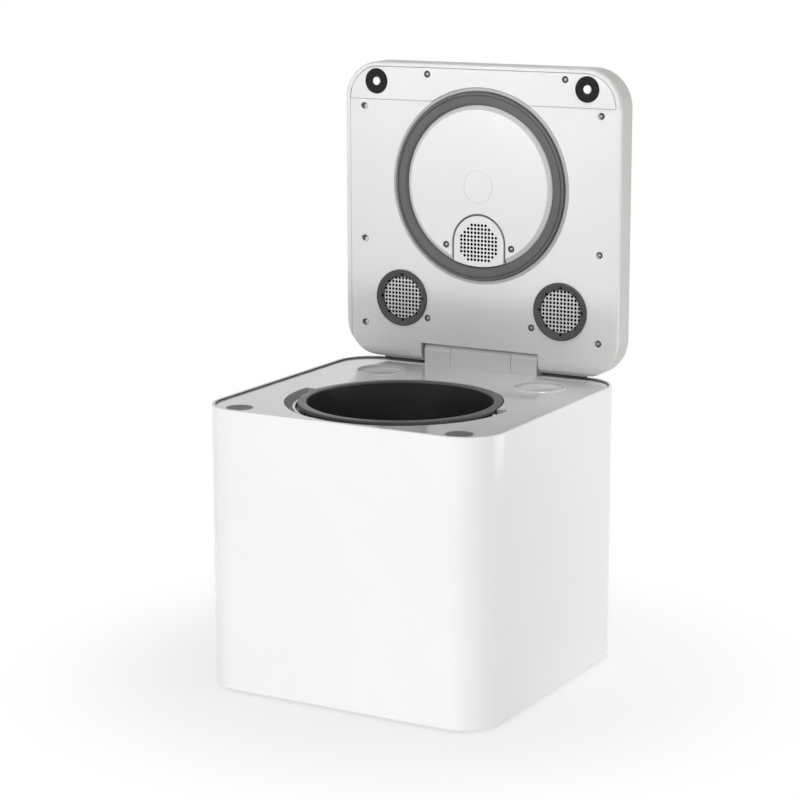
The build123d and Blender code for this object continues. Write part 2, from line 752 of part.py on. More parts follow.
# Agitator: hub, three bent blades, one side scraper, and a shaft with a coupling tongue
hub_bottom = dome_top_z + 2.2
hub_h = 20.0
blade_bottom = bucket_floor_z + blade_gap
with BuildPart() as agitator:
    with BuildSketch(bucket_plane):
        with BuildLine():
            Polyline(
                (0, hub_bottom),
                (hub_r, hub_bottom),
                (hub_r, hub_bottom + 0.6 * hub_h),
                (0.5 * hub_r, hub_bottom + hub_h),
                (0, hub_bottom + hub_h),
                close=True,
            )
        make_face()
    revolve(axis=bucket_axis)
    shoulder = hub_bottom + 1
    for turn in (0, 120, 240):
        blade_plane = Plane(
            origin=(0, bucket_y, 0),
            x_dir=(cos(radians(turn)), sin(radians(turn)), 0),
            z_dir=(sin(radians(turn)), -cos(radians(turn)), 0),
        )
        with BuildSketch(blade_plane):
            Polygon(
                (0.6 * hub_r, shoulder),
                (dome_r + 7, shoulder),
                (dome_r + 12, blade_bottom),
                (blade_reach - bucket_draft, blade_bottom + 3),
                (blade_reach, blade_bottom + bucket_corner),
                (blade_reach, blade_bottom + (scraper_h if turn == 0 else blade_rise)),
                (blade_reach - 9, blade_bottom + (scraper_h if turn == 0 else blade_rise)),
                (blade_reach - 12, blade_bottom + blade_rise),
                (dome_r + 14, shoulder + 0.5 * hub_h),
                (0.6 * hub_r, shoulder + 0.6 * hub_h),
                align=None,
            )
        extrude(amount=blade_t / 2, both=True)
    with BuildSketch(Plane.XY.offset(dome_top_z - bucket_t - 4)):
        with Locations((0, bucket_y)):
            Circle(agitator_shaft_r)
    extrude(amount=bucket_t + 8)
save(agitator, "agitator")

tongue_top = dome_top_z - bucket_t - 1
with BuildPart() as agitator_tongue:
    with BuildSketch(Plane.XY.offset(tongue_top - 3)):
        with Locations((0, bucket_y)):
            Circle(dog_r)
    extrude(amount=3)
    with BuildSketch(Plane.XY.offset(tongue_top - 3)):
        with Locations((0, bucket_y)):
            Circle(dog_r)
            Rectangle(2 * dog_r, tongue_w, mode=Mode.INTERSECT)
    extrude(amount=-dog_depth + dog_gap)
    with Locations((0, bucket_y, tongue_top)):
        Cylinder(agitator_shaft_r, 6, mode=Mode.SUBTRACT)
save(agitator_tongue, "agitator_tongue")

# Drive shaft with the slotted coupling, and the drive gear on it
dog_top = tongue_top - 3 - dog_gap
shaft_bottom = gear_floor + 0.3
with BuildPart() as drive_shaft:
    with BuildSketch(Plane.XY.offset(shaft_bottom)):
        with Locations((0, bucket_y)):
            Circle(shaft_r)
    extrude(amount=dog_top - dog_depth - 8 - shaft_bottom)
    with BuildSketch(Plane.XY.offset(dog_top - dog_depth - 8)):
        with Locations((0, bucket_y)):
            Circle(dog_r)
    extrude(amount=dog_depth + 8)
    chamfer(drive_shaft.edges().group_by(Axis.Z)[-1], length=0.8)
    with BuildSketch(Plane.XY.offset(dog_top)):
        with Locations((0, bucket_y)):
            Rectangle(3 * dog_r, tongue_w + 2 * dog_gap)
    extrude(amount=-dog_depth, mode=Mode.SUBTRACT)
save(drive_shaft, "drive_shaft")

with BuildPart() as drive_gear:
    centre = (0, bucket_y)
    extrude(gear_outline(drive_module, drive_teeth, 0, centre, drive_level), amount=drive_face)
    with BuildSketch(Plane.XY.offset(drive_level + 0.6 * drive_face)):
        with Locations(centre):
            Circle(0.42 * drive_module * drive_teeth)
            Circle(2.2 * shaft_r, mode=Mode.SUBTRACT)
    extrude(amount=drive_face, mode=Mode.SUBTRACT)
    with BuildSketch(Plane.XY.offset(drive_level)):
        with Locations(centre):
            Circle(shaft_r)
            with PolarLocations(0.3 * drive_module * drive_teeth, 6):
                Circle(0.09 * drive_module * drive_teeth)
    extrude(amount=drive_face, mode=Mode.SUBTRACT)
save(drive_gear, "drive_gear")


def compound_gear(place, pinion_module, pinion_level, wheel_module, wheel_teeth, wheel_start, wheel_level, wheel_face):
    """Wheel on top of the pinion that drives the next stage, bored for its axle."""
    gap_turn = 180 / pinion_teeth
    pinion = gear_outline(pinion_module, pinion_teeth, gap_turn, place, pinion_level)
    extrude(pinion, amount=wheel_level - pinion_level)
    wheel = gear_outline(wheel_module, wheel_teeth, wheel_start, place, wheel_level)
    extrude(wheel, amount=wheel_face)
    with BuildSketch(Plane.XY.offset(pinion_level)) as bore:
        with Locations(place):
            Circle(axle_r + bearing_gap)
    extrude(bore.sketch, amount=wheel_level + wheel_face - pinion_level, mode=Mode.SUBTRACT)
    with BuildSketch(Plane.XY.offset(wheel_level)) as windows:
        with Locations(place):
            with PolarLocations(0.34 * wheel_module * wheel_teeth, 5):
                Circle(0.08 * wheel_module * wheel_teeth)
    extrude(windows.sketch, amount=wheel_face, mode=Mode.SUBTRACT)


with BuildPart() as first_gear:
    compound_gear(
        (0, first_y), drive_module, drive_level, first_module, first_teeth, 0, first_level, first_face
    )
save(first_gear, "first_gear")

with BuildPart() as second_gear:
    compound_gear(
        (0, second_y), first_module, first_level, second_module, second_teeth, 90, second_level, second_face
    )
save(second_gear, "second_gear")

motor_base = gear_top + box_wall
with BuildPart() as motor_pinion:
    gap_turn = 180 / pinion_teeth
    pinion = gear_outline(second_module, pinion_teeth, gap_turn, (0, motor_y), second_level)
    extrude(pinion, amount=second_face)
    with BuildSketch(Plane.XY.offset(second_level + second_face)):
        with Locations((0, motor_y)):
            Circle(0.7 * axle_r)
    extrude(amount=gear_gap + box_wall + 5)
save(motor_pinion, "motor_pinion")

with BuildPart() as gear_axles:
    with BuildSketch(Plane.XY.offset(gear_floor - 2)):
        with Locations((0, first_y), (0, second_y)):
            Circle(axle_r)
    extrude(amount=gear_top - gear_floor + 4)
save(gear_axles, "gear_axles")


def gearbox_outline(grow, level):
    """One smooth outline round all the gears."""
    rooms = (
        (bucket_y, drive_module * (drive_teeth / 2 + addendum)),
        (first_y, first_module * (first_teeth / 2 + addendum)),
        (second_y, second_module * (second_teeth / 2 + addendum)),
        (motor_y, second_module * (pinion_teeth / 2 + addendum) + 3),
    )
    with BuildSketch(Plane.XY.offset(level)) as sketch:
        for place, radius in rooms:
            with Locations((0, place)):
                Circle(radius + tooth_room + grow)
        make_hull()
    return sketch.sketch


with BuildPart() as gearbox_tray:
    extrude(gearbox_outline(box_wall, gearbox_bottom), amount=gear_top - gearbox_bottom)
    extrude(gearbox_outline(0, gear_floor), amount=gear_top - gear_floor, mode=Mode.SUBTRACT)
    with BuildSketch(Plane.XY.offset(gear_floor)):
        with Locations((0, first_y), (0, second_y)):
            Circle(axle_r)
    extrude(amount=-2, mode=Mode.SUBTRACT)
save(gearbox_tray, "gearbox_tray")

with BuildPart() as gearbox_cover:
    extrude(gearbox_outline(box_wall, gear_top), amount=box_wall)
    with BuildSketch(Plane.XY.offset(gear_top)):
        with Locations((0, first_y), (0, second_y)):
            Circle(axle_r)
    extrude(amount=2, mode=Mode.SUBTRACT)
    with BuildSketch(Plane.XY.offset(gear_top)):
        with Locations((0, bucket_y)):
            Circle(shaft_r + 4)
        with Locations((0, motor_y)):
            Circle(axle_r)
    extrude(amount=box_wall, mode=Mode.SUBTRACT)
save(gearbox_cover, "gearbox_cover")

with BuildPart() as drive_bearing:
    with BuildSketch(Plane.XY.offset(gear_top)):
        with Locations((0, bucket_y)):
            Circle(shaft_r + 4 - 0.02)
            Circle(shaft_r + bearing_gap, mode=Mode.SUBTRACT)
    extrude(amount=box_wall)
    with BuildSketch(Plane.XY.offset(motor_base)):
        with Locations((0, bucket_y)):
            Circle(shaft_r + 6)
            Circle(shaft_r + bearing_gap, mode=Mode.SUBTRACT)
    extrude(amount=3)
save(drive_bearing, "drive_bearing")

with BuildPart() as drive_motor:
    with BuildSketch(Plane.XY.offset(motor_base)):
        with Locations((0, motor_y)):
            Circle(motor_r)
    extrude(amount=motor_h)
    fillet(drive_motor.edges().group_by(Axis.Z)[-1], radius=3)
    with BuildSketch(Plane.XY.offset(motor_base)):
        with Locations((0, motor_y)):
            Circle(axle_r)
    extrude(amount=8, mode=Mode.SUBTRACT)
save(drive_motor, "drive_motor")

# Carbon filters: wells under the deck's ports, lift-out canisters and their caps
cap_top = deck_z - cap_drop
canister_top = cap_top - cap_t
canister_bottom = canister_top - canister_h
well_r = port_r
with BuildPart() as filter_wells:
    with BuildSketch(Plane.XY.offset(canister_bottom - canister_lift - well_t)):
        with GridLocations(2 * port_x, 0, 2, 1):
            with Locations((0, port_y)):
                Circle(well_r + well_t)
    extrude(amount=deck_z - deck_t - canister_bottom + canister_lift + well_t)
    with BuildSketch(Plane.XY.offset(canister_bottom - canister_lift)):
        with GridLocations(2 * port_x, 0, 2, 1):
            with Locations((0, port_y)):
                Circle(well_r)
    extrude(amount=deck_z - deck_t - canister_bottom + canister_lift, mode=Mode.SUBTRACT)
    with BuildSketch(Plane.XY.offset(canister_bottom - canister_lift - well_t)):
        with GridLocations(2 * port_x, 0, 2, 1):
            with Locations((0, port_y)):
                with PolarLocations(0.55 * well_r, 6):
                    Circle(0.16 * well_r)
    extrude(amount=well_t, mode=Mode.SUBTRACT)
save(filter_wells, "filter_wells")

for side, name in ((-1, "left"), (1, "right")):
    place = (side * port_x, port_y)
    with BuildPart() as filter_canister:
        with BuildSketch(Plane.XY.offset(canister_bottom)):
            with Locations(place):
                Circle(canister_r)
        extrude(amount=canister_h)
        fillet(filter_canister.edges().group_by(Axis.Z)[0], radius=2)
        with BuildSketch(Plane.XY.offset(canister_top)):
            with Locations(place):
                Circle(port_r - cap_gap)
        extrude(amount=cap_t)
        chamfer(filter_canister.edges().group_by(Axis.Z)[-1], length=0.5)
        with BuildSketch(Plane.XY.offset(cap_top)):
            with Locations(place):
                Circle(port_r - cap_rim)
        extrude(amount=-cap_recess, mode=Mode.SUBTRACT)
    save(filter_canister, f"{name}_filter_canister")

# Lid shell: rounded cap, hollow round a solid hinge block, with screw bosses
block_half = notch_half + lug_w
block_v = knuckle_r + knuckle_gap + lid_wall
heel_v = lid_wall - (panel_t * (2 * hinge_drop - panel_t)) ** 0.5
with BuildPart() as lid_shell:
    with BuildSketch(lid_face.offset(-lid_t)):
        lid_outline(0)
    extrude(amount=lid_t - panel_t)
    fillet(lid_shell.edges().group_by(Axis.Y)[-1], radius=min(lid_round, 0.9 * lid_corner))
    with BuildSketch(lid_face.offset(-panel_t)):
        lid_outline(lid_wall)
        with Locations((0, -hinge_drop)):
            Rectangle(
                2 * block_half, hinge_drop + block_v, align=(Align.CENTER, Align.MIN), mode=Mode.SUBTRACT
            )
        with Locations((0, heel_v)):
            Rectangle(body_w, hinge_drop, align=(Align.CENTER, Align.MAX), mode=Mode.SUBTRACT)
        with Locations(*lid_screw_places):
            Circle(boss_r, mode=Mode.SUBTRACT)
    extrude(amount=-(lid_t - panel_t - lid_wall), mode=Mode.SUBTRACT)
    with BuildSketch(lid_face.offset(-panel_t)):
        with Locations(*lid_screw_places):
            Circle(screw_r)
    extrude(amount=-screw_l, mode=Mode.SUBTRACT)
    round_rear_edge()
    hinge_notch()
    for start in (-pin_end - 0.5, notch_half):
        with BuildSketch(Plane.YZ.offset(start)):
            with Locations((hinge_y, hinge_z)):
                Circle(pin_r + bearing_gap)
        extrude(amount=pin_end + 0.5 - notch_half, mode=Mode.SUBTRACT)
save(lid_shell, "lid_shell")


def strip_outline(gap, height):
    """Front strip: the lid's own outline drawn in, forward of the strip line."""
    with BuildSketch(lid_face.offset(height)) as sketch:
        lid_outline(strip_edge + gap)
        with Locations((0, strip_line + gap)):
            Rectangle(2 * body_w, 2 * lid_front, align=(Align.CENTER, Align.MAX), mode=Mode.SUBTRACT)
    return sketch.sketch


# Inner panel: the white face of the lid
with BuildPart() as lid_inner_panel:
    with BuildSketch(lid_face.offset(-panel_t)):
        lid_outline(0)
    extrude(amount=panel_t)
    fillet(lid_inner_panel.edges().group_by(Axis.Y)[0], radius=min(panel_round, 0.9 * panel_t))
    extrude(strip_outline(0, -strip_t), amount=strip_t, mode=Mode.SUBTRACT)
    with BuildSketch(lid_face):
        with Locations(*strip_screws):
            Circle(screw_bore_r)
        with Locations((-port_x, grille_v), (port_x, grille_v)):
            Circle(grille_r - 5)
    extrude(amount=-panel_t, mode=Mode.SUBTRACT)
    extrude(arch(3, -panel_t), amount=panel_t, mode=Mode.SUBTRACT)
    with BuildSketch(lid_face):
        with Locations(*panel_screws):
            Circle(screw_bore_r)
    extrude(amount=-0.7 * panel_t, mode=Mode.SUBTRACT)
    with BuildSketch(lid_face):
        with Locations(*panel_screws, *disc_screw_places):
            Circle(screw_r + bearing_gap)
    extrude(amount=-panel_t, mode=Mode.SUBTRACT)
    round_rear_edge()
    hinge_notch()
save(lid_inner_panel, "lid_inner_panel")

with BuildPart() as front_strip_cover:
    extrude(strip_outline(strip_gap, -strip_t), amount=strip_t)
    with BuildSketch(lid_face):
        with Locations(*strip_screws):
            Circle(screw_bore_r)
    extrude(amount=-0.7 * strip_t, mode=Mode.SUBTRACT)
    with BuildSketch(lid_face):
        with Locations(*strip_screws):
            Circle(screw_r + bearing_gap)
        with Locations((-catch_x, catch_v), (catch_x, catch_v)):
            Circle(catch_r + bearing_gap)
    extrude(amount=-strip_t, mode=Mode.SUBTRACT)
save(front_strip_cover, "front_strip_cover")

# Magnetic catches in the strip: a dark ring with a white core
with BuildPart() as catch_rings:
    with BuildSketch(lid_face.offset(-strip_t)):
        with Locations((-catch_x, catch_v), (catch_x, catch_v)):
            Circle(catch_r)
            Circle(catch_core_r, mode=Mode.SUBTRACT)
    extrude(amount=strip_t + 0.8)
    chamfer(catch_rings.edges().group_by(Axis.Y)[0], length=0.4)
save(catch_rings, "catch_rings")

with BuildPart() as catch_cores:
    with BuildSketch(lid_face.offset(-strip_t)):
        with Locations((-catch_x, catch_v), (catch_x, catch_v)):
            Circle(catch_core_r - 0.02)
    extrude(amount=strip_t + 0.4)
save(catch_cores, "catch_cores")

# Gasket that seals on the bucket's rim
with BuildPart() as lid_gasket:
    with BuildSketch(lid_axis_plane(0, gasket_v)):
        with BuildLine():
            Polyline(
                (gasket_in, 0),
                (gasket_r + gasket_lip, 0),
                (gasket_r + gasket_lip, 0.15 * gasket_h),
                (gasket_r - 0.9, 0.3 * gasket_h),
                (gasket_r - 1.2, 0.15 * gasket_h),
                (gasket_r - 1.6, gasket_h),
                (gasket_r - 3.9, gasket_h),
                (gasket_r - 4.3, 0.65 * gasket_h),
                (gasket_r - 5.2, 0.9 * gasket_h),
                (gasket_in + 2.7, 0.9 * gasket_h),
                (gasket_in + 0.3, 0.2 * gasket_h),
                close=True,
            )
        make_face()
    revolve(axis=lid_axis(0, gasket_v))
save(lid_gasket, "lid_gasket")

# Bevelled disc inside the gasket, with the opening for the fan cover
with BuildPart() as baffle_disc:
    with BuildSketch(lid_face):
        with Locations((0, gasket_v)):
            Circle(gasket_in - 0.3)
    extrude(amount=disc_h)
    rim = baffle_disc.edges().group_by(Axis.Y)[0]
    chamfer(rim, length=0.75 * disc_h, length2=disc_bevel)
    with BuildSketch(lid_face.offset(disc_h)):
        with Locations((0, gasket_v)):
            Circle(emblem_r)
            Circle(emblem_r - emblem_w, mode=Mode.SUBTRACT)
    extrude(amount=-emblem_h, mode=Mode.SUBTRACT)
    with BuildSketch(lid_face):
        with Locations((0, arch_v)):
            Circle(arch_half + arch_groove / 2)
            Rectangle(2 * arch_half + arch_groove, gasket_r, align=(Align.CENTER, Align.MAX))
    extrude(amount=2 * disc_h, mode=Mode.SUBTRACT)
    with BuildSketch(lid_face.offset(disc_h)):
        with Locations(*disc_screw_places):
            Circle(screw_bore_r)
    extrude(amount=-0.6 * disc_h, mode=Mode.SUBTRACT)
    with BuildSketch(lid_face.offset(disc_h)):
        with Locations(*disc_screw_places):
            Circle(screw_r + bearing_gap)
    extrude(amount=-disc_h, mode=Mode.SUBTRACT)
save(baffle_disc, "baffle_disc")

# Perforated fan cover in the disc
with BuildPart() as fan_cover:
    extrude(arch(arch_groove / 2, 0), amount=disc_h)
    with BuildSketch(lid_face):
        with Locations((0, arch_v + 1)):
            with Locations(*arch_grille_places()):
                RegularPolygon(hole_r, hole_sides)
    extrude(amount=disc_h, mode=Mode.SUBTRACT)
save(fan_cover, "fan_cover")

# Round grilles over the filter ports: a light perforated plate under a dark seal ring
for side, name in ((-1, "left"), (1, "right")):
    place = (side * port_x, grille_v)
    with BuildPart() as vent_grille:
        with BuildSketch(lid_face):
            with Locations(place):
                Circle(grille_light_r)
                with Locations(*round_grille_places()):
                    RegularPolygon(hole_r, hole_sides, mode=Mode.SUBTRACT)
        extrude(amount=1.2)
    save(vent_grille, f"{name}_vent_grille")

with BuildPart() as grille_seals:
    with BuildSketch(lid_face):
        for side in (-1, 1):
            with Locations((side * port_x, grille_v)):
                Circle(grille_r)
        for side in (-1, 1):
            with Locations((side * port_x, grille_v)):
                Circle(grille_light_r, mode=Mode.SUBTRACT)
                with Locations(*round_grille_places()):
                    RegularPolygon(hole_r, hole_sides, mode=Mode.SUBTRACT)
    extrude(amount=grille_seal_h)
save(grille_seals, "grille_seals")

# Screws of the lid, sunk in their bores
head_t = 1.2
with BuildPart() as lid_screws:
    sunk = [(strip_screws, -0.7 * strip_t), (panel_screws, -0.7 * panel_t), (disc_screw_places, 0.4 * disc_h)]
    for places, seat in sunk:
        with BuildSketch(lid_face.offset(seat)):
            with Locations(*places):
                Circle(screw_head_r)
        extrude(amount=head_t)
        with BuildSketch(lid_face.offset(seat)):
            with Locations(*places):
                Circle(screw_r - bearing_gap)
        extrude(amount=-screw_l + head_t)
        with BuildSketch(lid_face.offset(seat + head_t)):
            with Locations(*places):
                Rectangle(3.6, 0.8)
                Rectangle(0.8, 3.6)
        extrude(amount=-0.7, mode=Mode.SUBTRACT)
save(lid_screws, "lid_screws")


def duct_outline(grow, height):
    """Air duct in the lid: a fan room joined to a room over each grille."""
    with BuildSketch(lid_face.offset(height)) as sketch:
        with Locations((0, arch_v)):
            Circle(duct_r + grow)
        with Locations((-port_x, grille_v), (port_x, grille_v)):
            Circle(duct_r - 2 + grow)
        for side in (-1, 1):
            with BuildLine():
                neck = Line((0, arch_v), (side * port_x, grille_v))
            trace(neck, line_width=duct_neck + 2 * grow)
    return sketch.sketch


with BuildPart() as lid_air_duct:
    extrude(duct_outline(duct_t, -panel_t), amount=-duct_h)
    extrude(duct_outline(0, -panel_t), amount=-(duct_h - duct_t), mode=Mode.SUBTRACT)
    with BuildSketch(lid_face.offset(-panel_t - duct_h)):
        with Locations(*disc_screw_places):
            Circle(boss_r)
    extrude(amount=duct_h)
    with BuildSketch(lid_face.offset(-panel_t)):
        with Locations(*disc_screw_places):
            Circle(screw_r)
    extrude(amount=-screw_l, mode=Mode.SUBTRACT)
save(lid_air_duct, "lid_air_duct")

# Blower in the duct: a motor hub on the duct's floor and a cage impeller on it
duct_floor = -panel_t - duct_h + duct_t
with BuildPart() as blower_motor:
    with BuildSketch(lid_face.offset(duct_floor)):
        with Locations((0, arch_v)):
            Circle(7)
    extrude(amount=3)
    with BuildSketch(lid_face.offset(duct_floor + 3)):
        with Locations((0, arch_v)):
            Circle(1.5)
    extrude(amount=blower_h)
save(blower_motor, "blower_motor")

with BuildPart() as blower_impeller:
    with BuildSketch(lid_face.offset(duct_floor + 3.3)):
        with Locations((0, arch_v)):
            Circle(blower_r)
    extrude(amount=1.2)
    with BuildSketch(lid_face.offset(duct_floor + 3.3)):
        with Locations((0, arch_v)):
            Circle(6)
    extrude(amount=blower_h)
    with BuildSketch(lid_face.offset(duct_floor + 3.3)):
        with Locations((0, arch_v)):
            with PolarLocations(blower_r - 3, blower_blades):
                Rectangle(5, 0.9, rotation=35)
    extrude(amount=blower_h)
    with BuildSketch(lid_face.offset(duct_floor + 3.3)):
        with Locations((0, arch_v)):
            Circle(1.5 + bearing_gap)
    extrude(amount=blower_h, mode=Mode.SUBTRACT)
save(blower_impeller, "blower_impeller")

# Control board behind the front strip
with BuildPart() as control_board:
    with BuildSketch(lid_face.offset(-panel_t - 1.6)):
        with Locations(((strip_screws[0][0] + strip_screws[1][0]) / 2, (strip_line + lid_front) / 2)):
            Rectangle(lid_board_w, lid_board_d)
    extrude(amount=1.6)
save(control_board, "control_board")

# Exhaust fan behind the rear vent
fan_back = rear_wall_y
fan_plane = Plane(origin=(0, fan_back, fan_z), x_dir=(-1, 0, 0), z_dir=(0, 1, 0))
fan_bore = fan_size / 2 - 2
with BuildPart() as exhaust_fan_frame:
    with BuildSketch(fan_plane.offset(-fan_t)):
        RectangleRounded(fan_size, fan_size, 4)
        Circle(fan_bore, mode=Mode.SUBTRACT)
    extrude(amount=fan_t)
    with BuildSketch(fan_plane.offset(-fan_t)):
        Circle(11)
        Rectangle(2 * fan_bore + 1, 3, rotation=45)
        Rectangle(2 * fan_bore + 1, 3, rotation=-45)
    extrude(amount=2.4)
    with BuildSketch(fan_plane.offset(-fan_t + 2.4)):
        Circle(2)
    extrude(amount=fan_t - 5)
save(exhaust_fan_frame, "exhaust_fan_frame")

blade_y = fan_back - fan_t / 2 + 0.6
with BuildPart() as exhaust_impeller:
    with BuildSketch(fan_plane.offset(-fan_t + 3.0)):
        Circle(10)
    extrude(amount=fan_t - 4.5)
    for k in range(fan_blades):
        turn = 360 * k / fan_blades
        out = (cos(radians(turn)), 0, sin(radians(turn)))
        for radius, width, pitch in ((9.0, 10.0, 50.0), (fan_bore - fan_gap, 8.0, 25.0)):
            root = Plane(
                origin=(radius * out[0], blade_y, fan_z + radius * out[2]), x_dir=(0, 1, 0), z_dir=out
            )
            with BuildSketch(root):
                Rectangle(width, 1.2, rotation=90 - pitch)
        loft()
    with BuildSketch(fan_plane.offset(-fan_t)):
        Circle(2 + bearing_gap)
    extrude(amount=fan_t, mode=Mode.SUBTRACT)
save(exhaust_impeller, "exhaust_impeller")

# Power inlet in the rear face with its three blades
inlet_plane = Plane(origin=(inlet_x, body_d / 2, inlet_z), x_dir=(-1, 0, 0), z_dir=(0, 1, 0))
with BuildPart() as power_inlet:
    with BuildSketch(inlet_plane.offset(-inlet_d)):
        RectangleRounded(inlet_w, inlet_h, 3)
    extrude(amount=inlet_d)
    with BuildSketch(inlet_plane):
        RectangleRounded(inlet_w + 6, inlet_h + 6, 4)
    extrude(amount=inlet_lip)
    with BuildSketch(inlet_plane.offset(inlet_lip)):
        RectangleRounded(inlet_w - 3, inlet_h - 4, 2.5)
    extrude(amount=inlet_floor - inlet_d, mode=Mode.SUBTRACT)
save(power_inlet, "power_inlet")

with BuildPart() as inlet_blades:
    with BuildSketch(inlet_plane.offset(inlet_lip + inlet_floor - inlet_d)):
        with Locations((-7, -1.5), (0, 2.5), (7, -1.5)):
            Rectangle(2, 4)
    extrude(amount=inlet_d - 6)
save(inlet_blades, "inlet_blades")

# Power board on the base plate's standoffs, with its transformer, relays and capacitors
board_z = base_stand + base_t + standoff_h
with BuildPart() as power_board:
    with BuildSketch(Plane.XY.offset(board_z)):
        with Locations((board_x, board_y)):
            Rectangle(board_w, board_d)
    extrude(amount=board_t)
save(power_board, "power_board")

with BuildPart() as transformer:
    with BuildSketch(Plane.XY.offset(board_z + board_t)):
        with Locations((board_x - 16, board_y)):
            Rectangle(34, 30)
    extrude(amount=28)
    with BuildSketch(Plane.XY.offset(board_z + 7)):
        with Locations((board_x - 16, board_y)):
            RectangleRounded(42, 24, 4)
    extrude(amount=17)
save(transformer, "transformer")

with BuildPart() as board_parts:
    with BuildSketch(Plane.XY.offset(board_z + board_t)):
        with Locations((board_x + 20, board_y + 14), (board_x + 20, board_y - 2)):
            Rectangle(19, 12)
    extrude(amount=15)
    with BuildSketch(Plane.XY.offset(board_z + board_t)):
        with Locations((board_x + 14, board_y - 18), (board_x + 28, board_y - 18)):
            Circle(5)
    extrude(amount=18)
save(board_parts, "board_parts")

# Magnetic sensor under the deck, beside the right catch disc
with BuildPart() as lid_sensor:
    with BuildSketch(Plane.XY.offset(deck_z - deck_t - sensor_h)):
        with Locations((catch_x, catch_y + catch_r + sensor_w)):
            Rectangle(sensor_w, 2 * sensor_w)
    extrude(amount=sensor_h)
save(lid_sensor, "lid_sensor")

# Screws from below into the posts
with BuildPart() as base_screws:
    with BuildSketch(Plane.XY.offset(base_stand)):
        with Locations((0, bucket_y)):
            with PolarLocations(post_place, 4, start_angle=45):
                Circle(screw_r)
    extrude(amount=base_t + 8)
    with BuildSketch(Plane.XY.offset(base_stand)):
        with Locations((0, bucket_y)):
            with PolarLocations(post_place, 4, start_angle=45):
                Circle(screw_head_r)
    extrude(amount=-1.2)
save(base_screws, "base_screws")
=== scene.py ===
# %% [markdown]
# # A countertop food composter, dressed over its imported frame
# The machine is a white square body with a glossy deck sunk in its top, a round bucket in the deck,
# and a thick lid that stands open at a right angle. This file gives every surface its finish, and
# models again, with more care, the pieces that the eye meets first. The frame itself never moves.

# %% Load the frame
import json
import math

import bpy
import bmesh
from mathutils import Matrix, Vector


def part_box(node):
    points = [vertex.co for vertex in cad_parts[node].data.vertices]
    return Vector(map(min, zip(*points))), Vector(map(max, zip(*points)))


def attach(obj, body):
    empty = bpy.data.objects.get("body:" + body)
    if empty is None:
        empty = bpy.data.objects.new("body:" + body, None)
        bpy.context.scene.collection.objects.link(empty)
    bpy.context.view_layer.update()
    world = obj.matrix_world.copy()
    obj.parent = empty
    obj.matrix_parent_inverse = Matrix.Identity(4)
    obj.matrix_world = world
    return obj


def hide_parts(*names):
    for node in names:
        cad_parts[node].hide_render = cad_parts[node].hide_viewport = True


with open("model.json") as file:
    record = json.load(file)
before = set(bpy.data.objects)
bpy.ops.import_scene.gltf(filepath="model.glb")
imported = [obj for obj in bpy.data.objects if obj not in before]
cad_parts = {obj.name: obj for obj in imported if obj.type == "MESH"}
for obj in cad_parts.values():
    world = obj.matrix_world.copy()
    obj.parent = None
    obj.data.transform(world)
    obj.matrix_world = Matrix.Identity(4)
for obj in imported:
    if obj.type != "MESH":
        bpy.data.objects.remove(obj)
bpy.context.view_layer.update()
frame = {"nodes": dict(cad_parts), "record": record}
nodes = frame["nodes"]
mm = 0.001
touch = 0.01 * mm
bpy.ops.object.select_all(action="DESELECT")

# %% [markdown]
# ## Camera
# A long lens, a little above the machine and to its right, gives the calm product view in which
# upright edges stay nearly parallel. A short lens close by would spread them. The roll is small
# but real.

# %% The camera
camera_place = Vector((1.07069, -1.93084, 0.73356))
camera_yaw = math.radians(29.386)
camera_pitch = math.radians(12.0)
camera_roll = -0.0025
forward = Vector((
    -math.sin(camera_yaw) * math.cos(camera_pitch),
    math.cos(camera_yaw) * math.cos(camera_pitch),
    -math.sin(camera_pitch),
))
level_right = Vector((math.cos(camera_yaw), math.sin(camera_yaw), 0))
level_up = level_right.cross(forward)
right = math.cos(camera_roll) * level_right + math.sin(camera_roll) * level_up
up = math.cos(camera_roll) * level_up - math.sin(camera_roll) * level_right
camera_data = bpy.data.cameras.new("camera")
camera_data.sensor_width = 36.0
camera_data.lens = 107.604
camera = bpy.data.objects.new("camera", camera_data)
turned = Matrix((right, up, -forward)).transposed().to_4x4()
camera.matrix_world = Matrix.Translation(camera_place) @ turned
bpy.context.scene.collection.objects.link(camera)
bpy.context.scene.camera = camera
print("camera", camera_data.lens, "mm lens,", round(camera_place.length, 2), "m away")

# %% [markdown]
# ## Studio
# White on white needs light that turns. A broad softbox low in front keeps the front face near
# white, a weak one leaves the right side a step darker, and two narrow ones lift the open lid and
# the deck. More lamps all round would be simpler, but then the three faces run together. The
# background is white to the camera and to reflections only, so it adds no light to the object.

# %% What only some rays see
bpy.context.scene.view_settings.view_transform = "Standard"


def see_only(tree, seen, unseen):
    """Mix two shaders: one for camera, glossy and transmitted rays, and one for all the rest."""
    path = tree.nodes.new("ShaderNodeLightPath")
    either = tree.nodes.new("ShaderNodeMath")
    either.operation = "MAXIMUM"
    tree.links.new(path.outputs["Is Camera Ray"], either.inputs[0])
    tree.links.new(path.outputs["Is Glossy Ray"], either.inputs[1])
    any_ray = tree.nodes.new("ShaderNodeMath")
    any_ray.operation = "MAXIMUM"
    tree.links.new(either.outputs[0], any_ray.inputs[0])
    tree.links.new(path.outputs["Is Transmission Ray"], any_ray.inputs[1])
    mix = tree.nodes.new("ShaderNodeMixShader")
    tree.links.new(any_ray.outputs[0], mix.inputs[0])
    tree.links.new(unseen.outputs[0], mix.inputs[1])
    tree.links.new(seen.outputs[0], mix.inputs[2])
    return mix


# %% The world
fill_light = 0.37
plain_white = 1.0


